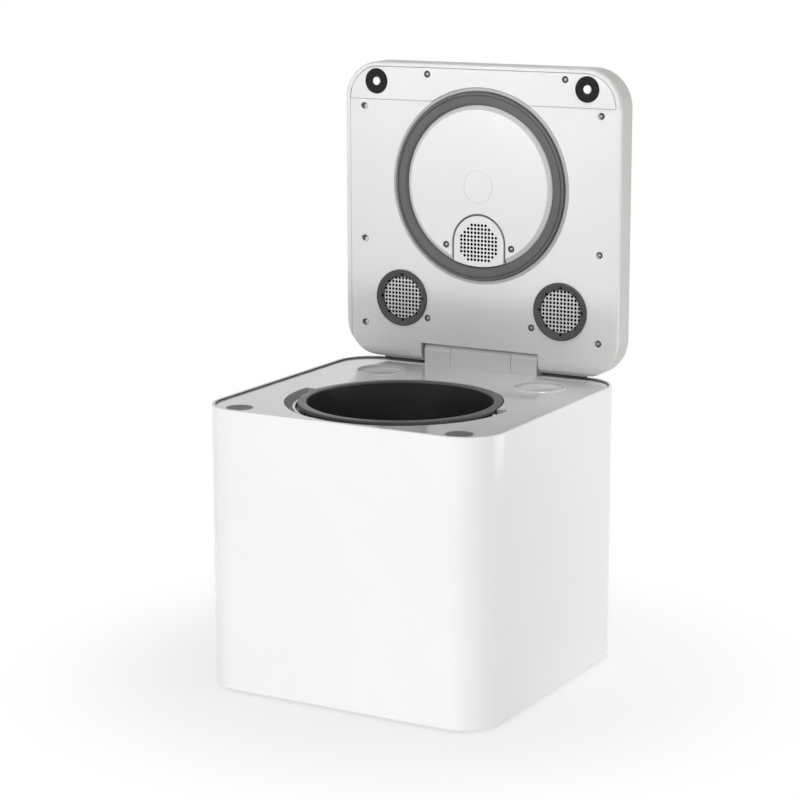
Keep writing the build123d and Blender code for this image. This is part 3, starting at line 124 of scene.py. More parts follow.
def make_world():
    """Soft grey light all round, white where it is seen."""
    world = bpy.data.worlds.new("studio")
    bpy.context.scene.world = world
    world.use_nodes = True
    tree = world.node_tree
    tree.nodes.clear()
    lit = tree.nodes.new("ShaderNodeBackground")
    lit.inputs["Color"].default_value = (1, 1, 1, 1)
    lit.inputs["Strength"].default_value = fill_light
    seen = tree.nodes.new("ShaderNodeBackground")
    seen.inputs["Color"].default_value = (1, 1, 1, 1)
    seen.inputs["Strength"].default_value = plain_white
    out = tree.nodes.new("ShaderNodeOutputWorld")
    tree.links.new(see_only(tree, seen, lit).outputs[0], out.inputs["Surface"])


make_world()


# %% The floor
floor_level = -0.4 * mm
floor_radius = 6.0
fade_from, fade_to = 0.12, 0.42
fade_start = 0.70
paper_white = 0.93


def make_floor():
    """A pale round floor that turns to plain white away from the object."""
    bpy.ops.mesh.primitive_circle_add(
        vertices=96, radius=floor_radius, fill_type="NGON", location=(0, 0, floor_level)
    )
    floor = bpy.context.object
    floor.name = "floor"
    material = bpy.data.materials.new("floor_white")
    material.use_nodes = True
    tree = material.node_tree
    tree.nodes.clear()
    spot = tree.nodes.new("ShaderNodeTexCoord")
    away = tree.nodes.new("ShaderNodeVectorMath")
    away.operation = "LENGTH"
    tree.links.new(spot.outputs["Object"], away.inputs[0])
    fade = tree.nodes.new("ShaderNodeMapRange")
    fade.interpolation_type = "SMOOTHSTEP"
    fade.inputs["From Min"].default_value = fade_from
    fade.inputs["From Max"].default_value = fade_to
    fade.inputs["To Min"].default_value = fade_start
    tree.links.new(away.outputs["Value"], fade.inputs["Value"])
    paper = tree.nodes.new("ShaderNodeBsdfDiffuse")
    paper.inputs["Color"].default_value = (paper_white, paper_white, paper_white, 1)
    white = tree.nodes.new("ShaderNodeEmission")
    white.inputs["Strength"].default_value = plain_white
    far = tree.nodes.new("ShaderNodeMixShader")
    tree.links.new(fade.outputs["Result"], far.inputs[0])
    tree.links.new(paper.outputs[0], far.inputs[1])
    tree.links.new(white.outputs[0], far.inputs[2])
    out = tree.nodes.new("ShaderNodeOutputMaterial")
    tree.links.new(see_only(tree, far, paper).outputs[0], out.inputs["Surface"])
    floor.data.materials.append(material)


make_floor()


# %% The lamps
def make_lamp(name, place, aim, wide, tall, power, spread=180, mirrored=True):
    """A softbox at a place, turned to face a point, and never seen by the camera itself."""
    light = bpy.data.lights.new(name, "AREA")
    light.shape = "RECTANGLE"
    light.size = wide
    light.size_y = tall
    light.energy = power
    light.spread = math.radians(spread)
    lamp = bpy.data.objects.new(name, light)
    lamp.location = place
    lamp.rotation_mode = "QUATERNION"
    lamp.rotation_quaternion = (Vector(aim) - Vector(place)).to_track_quat("-Z", "Y")
    lamp.visible_camera = False
    lamp.visible_glossy = mirrored
    bpy.context.scene.collection.objects.link(lamp)
    print("lamp", name, power, "W")


make_lamp("low_front", (0.0, -1.0, 0.04), (0, 0, 0.08), 2.4, 0.1, 8.6, mirrored=False)
make_lamp("lid_key", (-0.25, -0.9, 0.95), (-0.02, 0.13, 0.66), 0.5, 0.5, 0.50, 39)
make_lamp("low_right", (0.85, 0.5, 0.26), (0.05, 0.1, 0.2), 0.8, 0.5, 2.45)
make_lamp("deck_fill", (0.34, -0.08, 1.15), (0.13, 0.09, 0.27), 0.25, 0.25, 0.072, 22)

# %% [markdown]
# ## Finishes
# Moulded plastic is never one flat colour: its gloss wanders a little, and a faint grain breaks the
# highlights. Each finish below mixes noise on Object coordinates into the roughness, the colour and
# the bump, at the scale that the real surface has. A plain colour would be quicker, and looks like
# paint on paper.

# %% Finish helpers
SHADER = "Principled BSDF"


def new_finish(name):
    """An empty material with its shader and an Object coordinate node."""
    material = bpy.data.materials.new(name)
    material.use_nodes = True
    tree = material.node_tree
    place = tree.nodes.new("ShaderNodeTexCoord")
    return material, tree, tree.nodes[SHADER], place.outputs["Object"]


def noise(tree, where, scale, detail=2.0, stretch=None):
    """A noise value, stretched along an axis where a stretch is given."""
    if stretch:
        drawn = tree.nodes.new("ShaderNodeMapping")
        drawn.inputs["Scale"].default_value = stretch
        tree.links.new(where, drawn.inputs["Vector"])
        where = drawn.outputs["Vector"]
    grain = tree.nodes.new("ShaderNodeTexNoise")
    grain.inputs["Scale"].default_value = scale
    grain.inputs["Detail"].default_value = detail
    tree.links.new(where, grain.inputs["Vector"])
    return grain.outputs["Fac"]


noise_low, noise_high = 0.3, 0.7


def spread(tree, value, low, high):
    """Turn noise, nearly all of which lies from 0.3 to 0.7, into a value from low to high."""
    span = tree.nodes.new("ShaderNodeMapRange")
    span.inputs["From Min"].default_value = noise_low
    span.inputs["From Max"].default_value = noise_high
    span.inputs["To Min"].default_value = low
    span.inputs["To Max"].default_value = high
    tree.links.new(value, span.inputs["Value"])
    return span.outputs["Result"]


def tint(tree, value, dark, light):
    """A colour between two shades."""
    mix = tree.nodes.new("ShaderNodeMix")
    mix.data_type = "RGBA"
    mix.inputs["A"].default_value = (*dark, 1)
    mix.inputs["B"].default_value = (*light, 1)
    tree.links.new(value, mix.inputs["Factor"])
    return mix.outputs["Result"]


def bump(tree, value, depth, strength):
    """A bump of a real depth in metres."""
    rough = tree.nodes.new("ShaderNodeBump")
    rough.inputs["Distance"].default_value = depth
    rough.inputs["Strength"].default_value = strength
    tree.links.new(value, rough.inputs["Height"])
    return rough.outputs["Normal"]


# %% Moulded plastic
cloud_scale, wander_scale = 9.0, 45.0
gloss_drift = 0.12


def moulded(name, shade, rough, grain_depth=0.00002, grain_scale=1400.0, drift=0.012, coat=0.0):
    """Moulded plastic: a faint cloud in the colour, a wandering gloss and a fine grain."""
    material, tree, shader, where = new_finish(name)
    dark = [max(0.0, c - drift) for c in shade]
    light = [min(1.0, c + drift) for c in shade]
    cloud = noise(tree, where, cloud_scale, 3.0)
    tree.links.new(tint(tree, spread(tree, cloud, 0, 1), dark, light), shader.inputs["Base Color"])
    wander = noise(tree, where, wander_scale, 4.0)
    dull, keen = rough * (1 + gloss_drift), rough * (1 - gloss_drift)
    tree.links.new(spread(tree, wander, keen, dull), shader.inputs["Roughness"])
    grain = noise(tree, where, grain_scale, 3.0)
    tree.links.new(bump(tree, grain, grain_depth, 0.35), shader.inputs["Normal"])
    shader.inputs["IOR"].default_value = 1.5
    shader.inputs["Coat Weight"].default_value = coat
    shader.inputs["Coat Roughness"].default_value = 0.04
    return material


# %% Drawn metal
line_drift = 0.12


def metal(name, shade, rough, stretch=(1, 1, 40), line_scale=90.0):
    """Metal with fine drawn lines along one way."""
    material, tree, shader, where = new_finish(name)
    shader.inputs["Metallic"].default_value = 1.0
    lines = noise(tree, where, line_scale, 5.0, stretch)
    light = [min(1.0, c * (1 + line_drift)) for c in shade]
    dark = [c * (1 - line_drift) for c in shade]
    tree.links.new(tint(tree, spread(tree, lines, 0, 1), dark, light), shader.inputs["Base Color"])
    tree.links.new(spread(tree, lines, rough * 0.75, rough * 1.3), shader.inputs["Roughness"])
    tree.links.new(bump(tree, lines, 0.00002, 0.3), shader.inputs["Normal"])
    return material


# %% [markdown]
# ## One finish for each slot
# Every part of the frame names a slot, such as the white gloss of the sleeve or the steel of the
# pins. Each slot gets one finish here, and most new pieces take theirs from the same list, so a
# piece that is kept and one that is modelled again match where they meet.

# %% The finishes by the record's slots
finishes = {
    "white_gloss": moulded("white_gloss", (0.93, 0.93, 0.93), 0.22, coat=0.5),
    "lid_grey": moulded("lid_grey", (0.60, 0.61, 0.57), 0.45),
    "panel_white": moulded("panel_white", (0.76, 0.76, 0.76), 0.38),
    "deck_grey": moulded("deck_grey", (0.70, 0.70, 0.70), 0.14, coat=0.6),
    "seal_grey": moulded("seal_grey", (0.098, 0.098, 0.098), 0.6),
    "black_rubber": moulded("black_rubber", (0.012, 0.012, 0.012), 0.35),
    "white_core": moulded("white_core", (0.88, 0.88, 0.88), 0.3),
    "steel": metal("steel", (0.50, 0.50, 0.51), 0.32),
    "bright_steel": metal("bright_steel", (0.70, 0.70, 0.71), 0.14),
    "catch_steel": moulded("catch_steel", (0.11, 0.11, 0.11), 0.5),
    "pot_coating": moulded(
        "pot_coating",
        (0.012, 0.012, 0.013),
        0.45,
        grain_depth=0.00005,
        grain_scale=2400,
        drift=0.004,
    ),
    "aluminium": metal("aluminium", (0.72, 0.72, 0.73), 0.35, (40, 40, 1)),
    "gear_white": moulded("gear_white", (0.75, 0.73, 0.65), 0.42),
    "black_plastic": moulded("black_plastic", (0.02, 0.02, 0.02), 0.42),
    "grey_plastic": moulded("grey_plastic", (0.26, 0.26, 0.26), 0.5),
    "brass": metal("brass", (0.72, 0.53, 0.22), 0.25),
    "board_green": moulded("board_green", (0.01, 0.10, 0.035), 0.3),
    "cast": metal("cast", (0.18, 0.18, 0.19), 0.55, (1, 1, 1), 500.0),
}
for part in frame["record"]["subparts"]:
    shown = nodes[part["node"]].data
    shown.materials.clear()
    shown.materials.append(finishes[part["material_slot"]])
print("finishes", len(finishes))

# %% [markdown]
# ## Modelling by selection
# The new pieces below are made as by hand: a primitive is added at its place, faces or edges are
# selected, and an operator extrudes, insets or bevels them. An operator works on all that is
# selected, so each step starts from nothing selected, and picks by place or by normal.

# %% Selecting
def at(x, y, z):
    """A place given in millimetres."""
    return Vector((x, y, z)) * mm


def rest():
    """Leave edit mode with nothing selected."""
    if bpy.context.object and bpy.context.object.mode != "OBJECT":
        bpy.ops.object.mode_set(mode="OBJECT")
    bpy.ops.object.select_all(action="DESELECT")


def work_on(piece):
    """Put one piece in edit mode, with all of it selected."""
    rest()
    piece.select_set(True)
    bpy.context.view_layer.objects.active = piece
    bpy.ops.object.transform_apply(location=True, rotation=True, scale=True)
    bpy.ops.object.mode_set(mode="EDIT")
    bpy.ops.mesh.select_mode(type="VERT")
    bpy.ops.mesh.select_all(action="SELECT")


def pick(kind, test):
    """In edit mode, select the faces, edges or points whose place and normal or run pass a test."""
    bpy.ops.mesh.select_mode(type=kind)
    bpy.ops.mesh.select_all(action="DESELECT")
    shape = bmesh.from_edit_mesh(bpy.context.edit_object.data)
    if kind == "FACE":
        for face in shape.faces:
            if test(face.calc_center_median(), face.normal):
                face.select_set(True)
    elif kind == "EDGE":
        for edge in shape.edges:
            start, end = (vert.co for vert in edge.verts)
            if test((start + end) / 2, (end - start).normalized()):
                edge.select_set(True)
    else:
        for vert in shape.verts:
            if test(vert.co, vert.normal):
                vert.select_set(True)
    bmesh.update_edit_mesh(bpy.context.edit_object.data)


def close_up(piece):
    """Merge what coincides and turn every face outwards."""
    work_on(piece)
    bpy.ops.mesh.remove_doubles(threshold=0.002 * mm)
    bpy.ops.mesh.normals_make_consistent(inside=False)
    rest()


def middle_of(node):
    """The middle of a node's box, as x, y and z in metres."""
    return [(low + high) / 2 for low, high in zip(*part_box(node))]


# %% Finishing a piece
def two_finishes(piece, first, second, test):
    """Give a piece one finish, and another one to the faces that pass a test."""
    piece.data.materials.clear()
    piece.data.materials.append(first)
    piece.data.materials.append(second)
    work_on(piece)
    pick("FACE", test)
    piece.active_material_index = 1
    bpy.ops.object.material_slot_assign()
    rest()


def settle(piece, name, body, slot, *replaced, angle=32, flat=False, finish=None):
    """Name a finished piece, smooth it, give it its finish and let it ride on its body.

    With flat, the normals are weighted by area, so a wide face stays even beside a rounded edge.
    """
    rest()
    piece.select_set(True)
    bpy.context.view_layer.objects.active = piece
    bpy.ops.object.transform_apply(location=True, rotation=True, scale=True)
    bpy.ops.object.shade_smooth_by_angle(angle=math.radians(angle))
    if flat:
        even = piece.modifiers.new("even", "WEIGHTED_NORMAL")
        even.keep_sharp = True
        bpy.ops.object.modifier_apply(modifier="even")
    piece.name = name
    piece.data.name = name
    if finish:
        piece.data.materials.clear()
    if not piece.data.materials:
        piece.data.materials.append(finish or finishes[slot])
    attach(piece, body)
    if replaced:
        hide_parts(*replaced)
    print(name, "faces", len(piece.data.polygons))
    rest()
    return piece


# %% [markdown]
# ## Round pieces and flat ones
# Most of this machine is either turned or cut from a plate. A turned piece could be spun from a
# profile, but a circle that is extruded and scaled ring by ring closes by itself and never turns
# inside out. A plate starts as a plane with bevelled corner points, which gives true round corners.

# %% Turning
FRONT = Vector((0, -1, 0))
UP = Vector((0, 0, 1))


def turn(outline, centre, axis, steps=96, capped=False):
    """Turn an outline of radii and heights, in millimetres, about an axis through a centre."""
    rest()
    radius, height = outline[0]
    bpy.ops.mesh.primitive_circle_add(
        vertices=steps,
        radius=radius * mm,
        fill_type="NGON" if capped else "NOTHING",
        location=centre + axis * height * mm,
        rotation=axis.to_track_quat("Z", "Y").to_euler(),
    )
    piece = bpy.context.object
    work_on(piece)
    for (radius, height), (next_radius, next_height) in zip(outline, outline[1:]):
        step = axis * (next_height - height) * mm
        grow = next_radius / radius
        sizes = [1 if abs(a) > 0.5 else grow for a in axis]
        bpy.ops.mesh.extrude_region_move(TRANSFORM_OT_translate={"value": step})
        bpy.ops.transform.resize(value=sizes, center_override=centre + axis * next_height * mm)
    close_up(piece)
    return piece


# %% Plates and blocks
def plate(low, high, back, thick, corner, steps=12, rounded=lambda spot: True):
    """A flat plate facing the front, between two (x, z) corners, with chosen corners rounded."""
    rest()
    bpy.ops.mesh.primitive_plane_add(
        size=1,
        rotation=(math.pi / 2, 0, 0),
        location=at((low[0] + high[0]) / 2, back, (low[1] + high[1]) / 2),
    )
    piece = bpy.context.object
    piece.scale = ((high[0] - low[0]) * mm, (high[1] - low[1]) * mm, 1)
    work_on(piece)
    pick("VERT", lambda spot, normal: rounded(spot / mm))
    bpy.ops.mesh.bevel(offset=corner * mm, segments=steps, affect="VERTICES", clamp_overlap=True)
    bpy.ops.mesh.select_mode(type="FACE")
    bpy.ops.mesh.select_all(action="SELECT")
    bpy.ops.mesh.extrude_region_move(TRANSFORM_OT_translate={"value": FRONT * thick * mm})
    close_up(piece)
    return piece


def level_plane(wide, long, level, corner, steps):
    """In edit mode, a level plane with rounded corners, all of it selected as faces."""
    rest()
    bpy.ops.mesh.primitive_plane_add(size=1, location=(0, 0, level))
    piece = bpy.context.object
    piece.scale = (wide, long, 1)
    work_on(piece)
    bpy.ops.mesh.bevel(offset=corner * mm, segments=steps, affect="VERTICES", clamp_overlap=True)
    bpy.ops.mesh.select_mode(type="FACE")
    bpy.ops.mesh.select_all(action="SELECT")
    return piece


def block(place, size):
    """A block of a size at a place, both in metres, as a start."""
    rest()
    bpy.ops.mesh.primitive_cube_add(size=1, location=place)
    piece = bpy.context.object
    piece.scale = size
    return piece


# %% Cutting, rounding and copying
def cut(piece, tool, how="DIFFERENCE"):
    """Cut a piece with another solid, which is used up."""
    rest()
    bpy.context.view_layer.objects.active = piece
    piece.select_set(True)
    work = piece.modifiers.new("cut", "BOOLEAN")
    work.operation = how
    work.solver = "EXACT"
    work.object = tool
    bpy.ops.object.modifier_apply(modifier="cut")
    bpy.data.objects.remove(tool, do_unlink=True)


def bore(piece, radius, place, low, high, steps, how="DIFFERENCE"):
    """Cut a round hole straight in from the front, or keep only what lies inside it."""
    cut(piece, turn([(radius, low), (radius, high)], place, FRONT, steps, capped=True), how)


def trim_below(piece, level):
    """Cut a piece off straight at a height, and close it there."""
    work_on(piece)
    bpy.ops.mesh.bisect(plane_co=(0, 0, level), plane_no=(0, 0, 1), clear_inner=True, use_fill=True)
    rest()


def soften(piece, size, steps, test):
    """Round the edges whose place and run pass a test."""
    work_on(piece)
    pick("EDGE", test)
    bpy.ops.mesh.bevel(offset=size * mm, segments=steps, profile=0.5, affect="EDGES")
    rest()


def front_face(piece, level):
    """Go into edit mode and select what faces the front at a level."""
    work_on(piece)
    pick("FACE", lambda spot, normal: normal.y < -0.9 and abs(spot.y - level * mm) < touch)


def copy_of(piece, shift):
    """A copy with its own mesh, moved on by a shift."""
    rest()
    piece.select_set(True)
    bpy.context.view_layer.objects.active = piece
    bpy.ops.object.duplicate(linked=False)
    twin = bpy.context.object
    work_on(twin)
    bpy.ops.transform.translate(value=shift)
    rest()
    return twin


# %% [markdown]
# ## The gasket
# A rubber ring seals the lid on the bucket's rim. It could be a torus, but the real one has a thin
# pale lip that lies on the panel, a dark gutter, a narrow bead, a fine groove and a broad flat band
# that slopes down to the disc. A turned outline gives each of those its own step, and the lip gets
# its own paler rubber. Eight small pips stand on the band.

# %% The gasket
face_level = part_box("lid_gasket")[1].y
face_y = face_level / mm
ring_centre = Vector((0.5 * mm, face_level, middle_of("lid_gasket")[2] - 0.5 * mm))
gasket = turn(
    [
        (96.0, 0), (95.7, 0.5), (93.2, 1.1), (92.6, 0.4), (91.9, 0.3), (91.7, 2.6), (91.3, 3.0),
        (89.7, 3.1), (89.4, 2.8), (89.1, 2.1), (88.6, 2.1), (88.3, 2.8), (87.9, 3.1), (81.4, 3.1),
        (80.7, 2.8), (79.0, 0.7), (78.9, 0), (96.0, 0),
    ],
    ring_centre,
    FRONT,
    144,
)
seal_lip = moulded("seal_lip", (0.39, 0.39, 0.39), 0.5)
lip_inside = 92.5
two_finishes(
    gasket,
    finishes["seal_grey"],
    seal_lip,
    lambda spot, normal: (spot - ring_centre).length > lip_inside * mm,
)
settle(gasket, "gasket", "lid", "seal_grey", "lid_gasket")

# %% Its pips
pip_count = 8
pip_reach = 84.6
for k in range(pip_count):
    way = math.tau * (k + 0.5) / pip_count
    spot = ring_centre + Vector((math.cos(way), 0, math.sin(way))) * pip_reach * mm
    pip = turn([(0.75, 3.0), (0.7, 3.3), (0.4, 3.4)], spot, FRONT, 12, capped=True)
    settle(pip, f"gasket_pip_{k + 1}", "lid", "seal_grey")

# %% [markdown]
# ## The disc
# Inside the gasket lies a white disc with a sloping edge and a fine ring line at its middle. It is
# turned like the gasket, because a flat cylinder would lose the slope that the light shows. The
# arched place of the fan cover is cut out of its lower edge, and two screws get their hollows.

# %% The disc
disc = turn(
    [
        (78.4, 0), (78.4, 0.5), (75.0, 2.7), (74.6, 2.9), (74.2, 3.0), (16.2, 3.0), (16.0, 2.3),
        (15.3, 2.3), (15.1, 3.0),
    ],
    ring_centre,
    FRONT,
    144,
    capped=True,
)
disc_y = face_y - 3.0

# %% The arch in its lower edge
cover_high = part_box("fan_cover")[1]
cover_play = 0.3
arch_x = 1.0
arch_half = cover_high.x / mm - cover_play
arch_top = cover_high.z / mm - cover_play
arch_z = cover_high.z / mm - cover_high.x / mm
arch_shoulder = 400
groove = 2.1


def arch(grow, back, thick, foot=340, steps=32):
    """A plate of the cover's arched outline, grown all round by so many millimetres."""
    half = arch_half + grow
    return plate(
        (arch_x - half, foot),
        (arch_x + half, arch_top + grow),
        back,
        thick,
        half - 0.01,
        steps,
        lambda spot: spot.z > arch_shoulder,
    )


cut(disc, arch(groove, face_y + 3, 12))
disc_screws = [(arch_x - 35.9, arch_z - 2.9), (arch_x + 35.6, arch_z - 2.9)]
for x, z in disc_screws:
    bore(disc, 3.2, at(x, face_y, z), 1.2, 6, 32)
close_up(disc)
# Painted shade: the disc's sloping edge is a darker grey than its face.
painted_slope_shade = moulded("painted_slope_shade", (0.58, 0.58, 0.58), 0.4)
slope_inside = 74.8
two_finishes(
    disc,
    finishes["panel_white"],
    painted_slope_shade,
    lambda spot, normal: normal.y < -0.1
    and math.hypot(spot.x, spot.z - ring_centre.z) > slope_inside * mm,
)
settle(disc, "disc", "lid", "panel_white", "baffle_disc", angle=20)

# %% [markdown]
# ## The fan cover
# An arched cover with rows of small holes sits in the disc's lower edge, with a rubber seal in the
# groove round it. The holes could be painted dots, but holes that are really cut show their depth
# from any side. One rod and an Array make a row, and the rows cut the cover in one go. A plate in
# dull black behind them is painted shade: it stands for the dark inside the duct.

# %% Rows of holes
hole_pitch = 3.8
hole_radius = 1.48
rod_length = 14


def hole_rows(rows, centre):
    """A tool of small round rods, in rows of (shift right, shift up, count), that cuts a grille."""
    rods = []
    for across, rise, count in rows:
        rest()
        bpy.ops.mesh.primitive_cylinder_add(
            vertices=12,
            radius=hole_radius * mm,
            depth=rod_length * mm,
            rotation=(math.pi / 2, 0, 0),
            location=centre + at(across, 0, rise),
        )
        rod = bpy.context.object
        bpy.ops.object.transform_apply(location=True, rotation=True)
        row = rod.modifiers.new("row", "ARRAY")
        row.count = count
        row.use_relative_offset = False
        row.use_constant_offset = True
        row.constant_offset_displace = (hole_pitch * mm, 0, 0)
        bpy.ops.object.modifier_apply(modifier="row")
        rods.append(rod)
    rest()
    for rod in rods:
        rod.select_set(True)
    bpy.context.view_layer.objects.active = rods[0]
    bpy.ops.object.join()
    return rods[0]


# %% The cover's shell
cover_wall = 1.6


def keep_within(piece, radius):
    """Keep only what lies inside a circle about the disc's centre."""
    bore(piece, radius, ring_centre, -4, 8, 144, "INTERSECT")


cover = arch(0, face_y + 0.4, 3.4)
front_face(cover, disc_y)
bpy.ops.mesh.inset(thickness=0.5 * mm, depth=0)
bpy.ops.transform.translate(value=FRONT * 0.2 * mm)
rest()
cut(cover, arch(-cover_wall, face_y + 2, 4.8))
keep_within(cover, 78.2)

# %% The seal round it
cover_seal = arch(groove - 0.05, face_y + 0.3, 1.3)
cut(cover_seal, arch(-0.5, face_y + 3, 6, foot=330))
keep_within(cover_seal, 78.3)
close_up(cover_seal)
settle(cover_seal, "fan_cover_seal", "lid", "seal_grey")

# %% Its holes and the painted shade behind them
arch_rows = [
    (-half * hole_pitch, (4.5 - row) * hole_pitch, 2 * half + 1)
    for row, half in enumerate((2, 3, 4, 5, 5, 5, 5, 5, 4, 3))
]
cut(cover, hole_rows(arch_rows, at(arch_x, face_y, arch_z + 1)))
close_up(cover)
cover_shade = arch(-2, face_y - 2.3, 0.3, foot=372, steps=24)
keep_within(cover_shade, 76.5)
# Painted shade: a dull black with no specular, standing for the dark inside the duct and grilles.
painted_shade_black = moulded("painted_shade_black", (0.004, 0.004, 0.004), 0.9, drift=0.001)
painted_shade_black.node_tree.nodes[SHADER].inputs["Specular IOR Level"].default_value = 0.0
settle(cover_shade, "fan_cover_shade", "lid", "black_plastic", finish=painted_shade_black)
settle(cover, "fan_cover_arch", "lid", "panel_white", "fan_cover", angle=20)

# %% [markdown]
# ## The two round grilles
# Each grille over a filter is a pale plate of holes, sunk a little in the panel inside a soft dark
# ring that slopes down to it like a dish. They could be one turned piece in two colours, but plate
# and ring are two parts on the real lid. Both are cut by the same rows of rods, so that the holes
# that fall on the joint stay round. A thin black ring under the dish is painted shadow: it hides
# the pale edge of the panel's own opening. A black plate behind the holes is painted shade, which
# keeps them dark.

# %% Finishes, rows and the ring's outline
ring_dark = moulded("ring_dark", (0.062, 0.062, 0.063), 0.6)
plate_white = moulded("plate_white", (0.68, 0.68, 0.68), 0.4)
ring_hole = 6 * hole_pitch
round_rows = [(0, ring_hole, 1), (0, -ring_hole, 1), (-ring_hole, 0, 1), (ring_hole, 0, 1)]
for rise in range(-5, 6):
    half = int(math.sqrt(32 - rise * rise))
    round_rows.append((-half * hole_pitch, rise * hole_pitch, 2 * half + 1))
ring_outline = [
    (28.4, -0.2), (28.4, 1.5), (28.1, 2.0), (27.5, 2.2), (26.9, 2.1), (22.9, 0.35), (22.2, 0.15),
    (21.6, -0.8), (21.3, -1.1), (20.9, -1.15), (20.7, -1.3), (20.7, -1.9), (22.0, -1.9),
    (22.0, -0.25), (28.4, -0.25), (28.4, -0.2),
]
shadow_ring_outline = [(25.6, 0.02), (25.6, 0.12), (22.7, 0.12), (22.15, 0.06), (22.15, 0.02), (25.6, 0.02)]
print("holes in a grille", sum(count for across, rise, count in round_rows))


# %% The grilles
def make_grille(side):
    """One grille: its plate of holes, the painted shade behind it, a painted shadow ring and its
    ring.
    """
    across, _, rise = middle_of(f"{side}_vent_grille")
    centre = Vector((across + 0.7 * mm, face_level, rise))
    hole_centre = centre + at(0.7, 0, 0.4)
    ring_place = centre + at(0.3, 0, 0)
    grille = turn([(21.4, -1.8), (21.4, -1.4), (21.2, -1.3)], hole_centre, FRONT, 72, capped=True)
    cut(grille, hole_rows(round_rows, hole_centre))
    close_up(grille)
    # Painted shade: a black plate behind the holes keeps them dark.
    backing = turn([(22.5, -2.5), (22.5, -2.2), (22.3, -2.1)], centre, FRONT, 48, capped=True)
    settle(backing, f"{side}_grille_shade", "lid", "black_plastic", finish=painted_shade_black)
    settle(
        grille, f"{side}_grille_plate", "lid", "panel_white", f"{side}_vent_grille",
        angle=20, finish=plate_white,
    )
    # Painted shadow: a thin black ring that hides the pale edge of the panel's opening.
    shadow_ring = turn(shadow_ring_outline, ring_place, FRONT, 72)
    settle(shadow_ring, f"{side}_grille_shadow_ring", "lid", "black_plastic", finish=painted_shade_black)
    ring = turn(ring_outline, ring_place, FRONT, 72)
    cut(ring, hole_rows(round_rows, hole_centre))
    close_up(ring)
    settle(
        ring, f"{side}_grille_ring", "lid", "seal_grey", "grille_seals", angle=25, finish=ring_dark
    )


for side in ("left", "right"):
    make_grille(side)

# %% [markdown]
# ## Screws in their dimples
# A small screw shines at the bottom of each dimple: a domed steel head with a cross cut in it, and
# a washer round it, painted near black as the shade in the dimple. A cross in bump alone would
# vanish at a low angle, so two bars cut it. One screw is modelled, and the rest are copies of it,
# each with its own mesh.

# %% One screw
def make_screw(place):
    """One sunk screw: a washer painted dark as shade, and a domed head with a cross."""
    washer = turn(
        [
            (3.4, -1.6), (3.4, 0.03), (3.3, 0.1), (3.0, 0.05), (1.7, -1.0), (1.3, -1.1),
            (1.3, -1.6), (3.4, -1.6),
        ],
        place,
        FRONT,
        32,
    )
    head = turn(
        [(1.5, -1.6), (1.5, -0.9), (1.35, -0.3), (1.0, 0.0), (0.6, 0.1), (0.2, 0.12)],
        place,
        FRONT,
        32,
        capped=True,
    )
    for wide, tall in ((1.3, 0.35), (0.35, 1.3)):
        cut(head, block(place, (wide * mm, 0.6 * mm, tall * mm)))
    close_up(head)
    return washer, head


# %% All the screws
panel_screws = [
    (-128.2, 525.9), (128.8, 526.1), (-128.2, 393.5), (129.0, 394.0), (-128.2, 308.25),
    (129.0, 308.25), (-57.4, 317.8), (57.6, 317.8),
]
strip_screws = [(-57.4, 559.4), (91.4, 559.4)]
strip_y = face_y - 0.9
# Painted shade: the washers' near black stands for the shade down in each dimple.
painted_dimple_shade = moulded("painted_dimple_shade", (0.035, 0.035, 0.036), 0.35)
screw_places = [
    (x, level, z)
    for places, level in ((strip_screws, strip_y), (panel_screws, face_y), (disc_screws, disc_y))
    for x, z in places
]
first_place = at(0, face_y, 300)
washer, head = make_screw(first_place)
for number, place in enumerate(screw_places, 1):
    shift = at(*place) - first_place
    settle(
        copy_of(washer, shift), f"screw_washer_{number}", "lid", "black_plastic", "lid_screws",
        finish=painted_dimple_shade,
    )
    settle(
        copy_of(head, shift), f"screw_head_{number}", "lid", "steel", "lid_screws", angle=25
    )
bpy.data.objects.remove(washer, do_unlink=True)
bpy.data.objects.remove(head, do_unlink=True)

# %% [markdown]
# ## Catches
# Two magnets hold the lid down. Each is a smooth black ring round a white core, with a thin groove
# between them. A bevelled cylinder would do, but a turned outline has the groove and the soft outer
# edge in one go. Normals weighted by area keep its flat face from looking domed.

# %% The catches
catch_x = 114.5
catch_z = 550.95
catch_black = moulded(
    "catch_black", (0.008, 0.008, 0.008), 0.22, grain_depth=0.000005, drift=0.002
)
catch_black.node_tree.nodes[SHADER].inputs["Specular IOR Level"].default_value = 0.22
catch_outline = [
    (12.5, -1.9), (12.5, 0.7), (12.35, 1.0), (12.0, 1.1), (5.4, 1.1), (5.15, 0.95), (5.1, 0.2),
    (4.3, 0.1), (4.2, -1.9), (12.5, -1.9),
]
core_outline = [(4.1, -1.9), (4.1, 0.6), (3.9, 0.95), (3.5, 1.1), (1.4, 1.0)]
for side, x in (("left", -catch_x), ("right", catch_x)):
    place = at(x, face_y, catch_z)
    ring = turn(catch_outline, place, FRONT, 64)
    settle(
        ring, f"{side}_catch_ring", "lid", "black_rubber", "catch_rings",
        flat=True, finish=catch_black,
    )
    core = turn(core_outline, place, FRONT, 48, capped=True)
    settle(core, f"{side}_catch_core", "lid", "white_core", "catch_cores", flat=True)
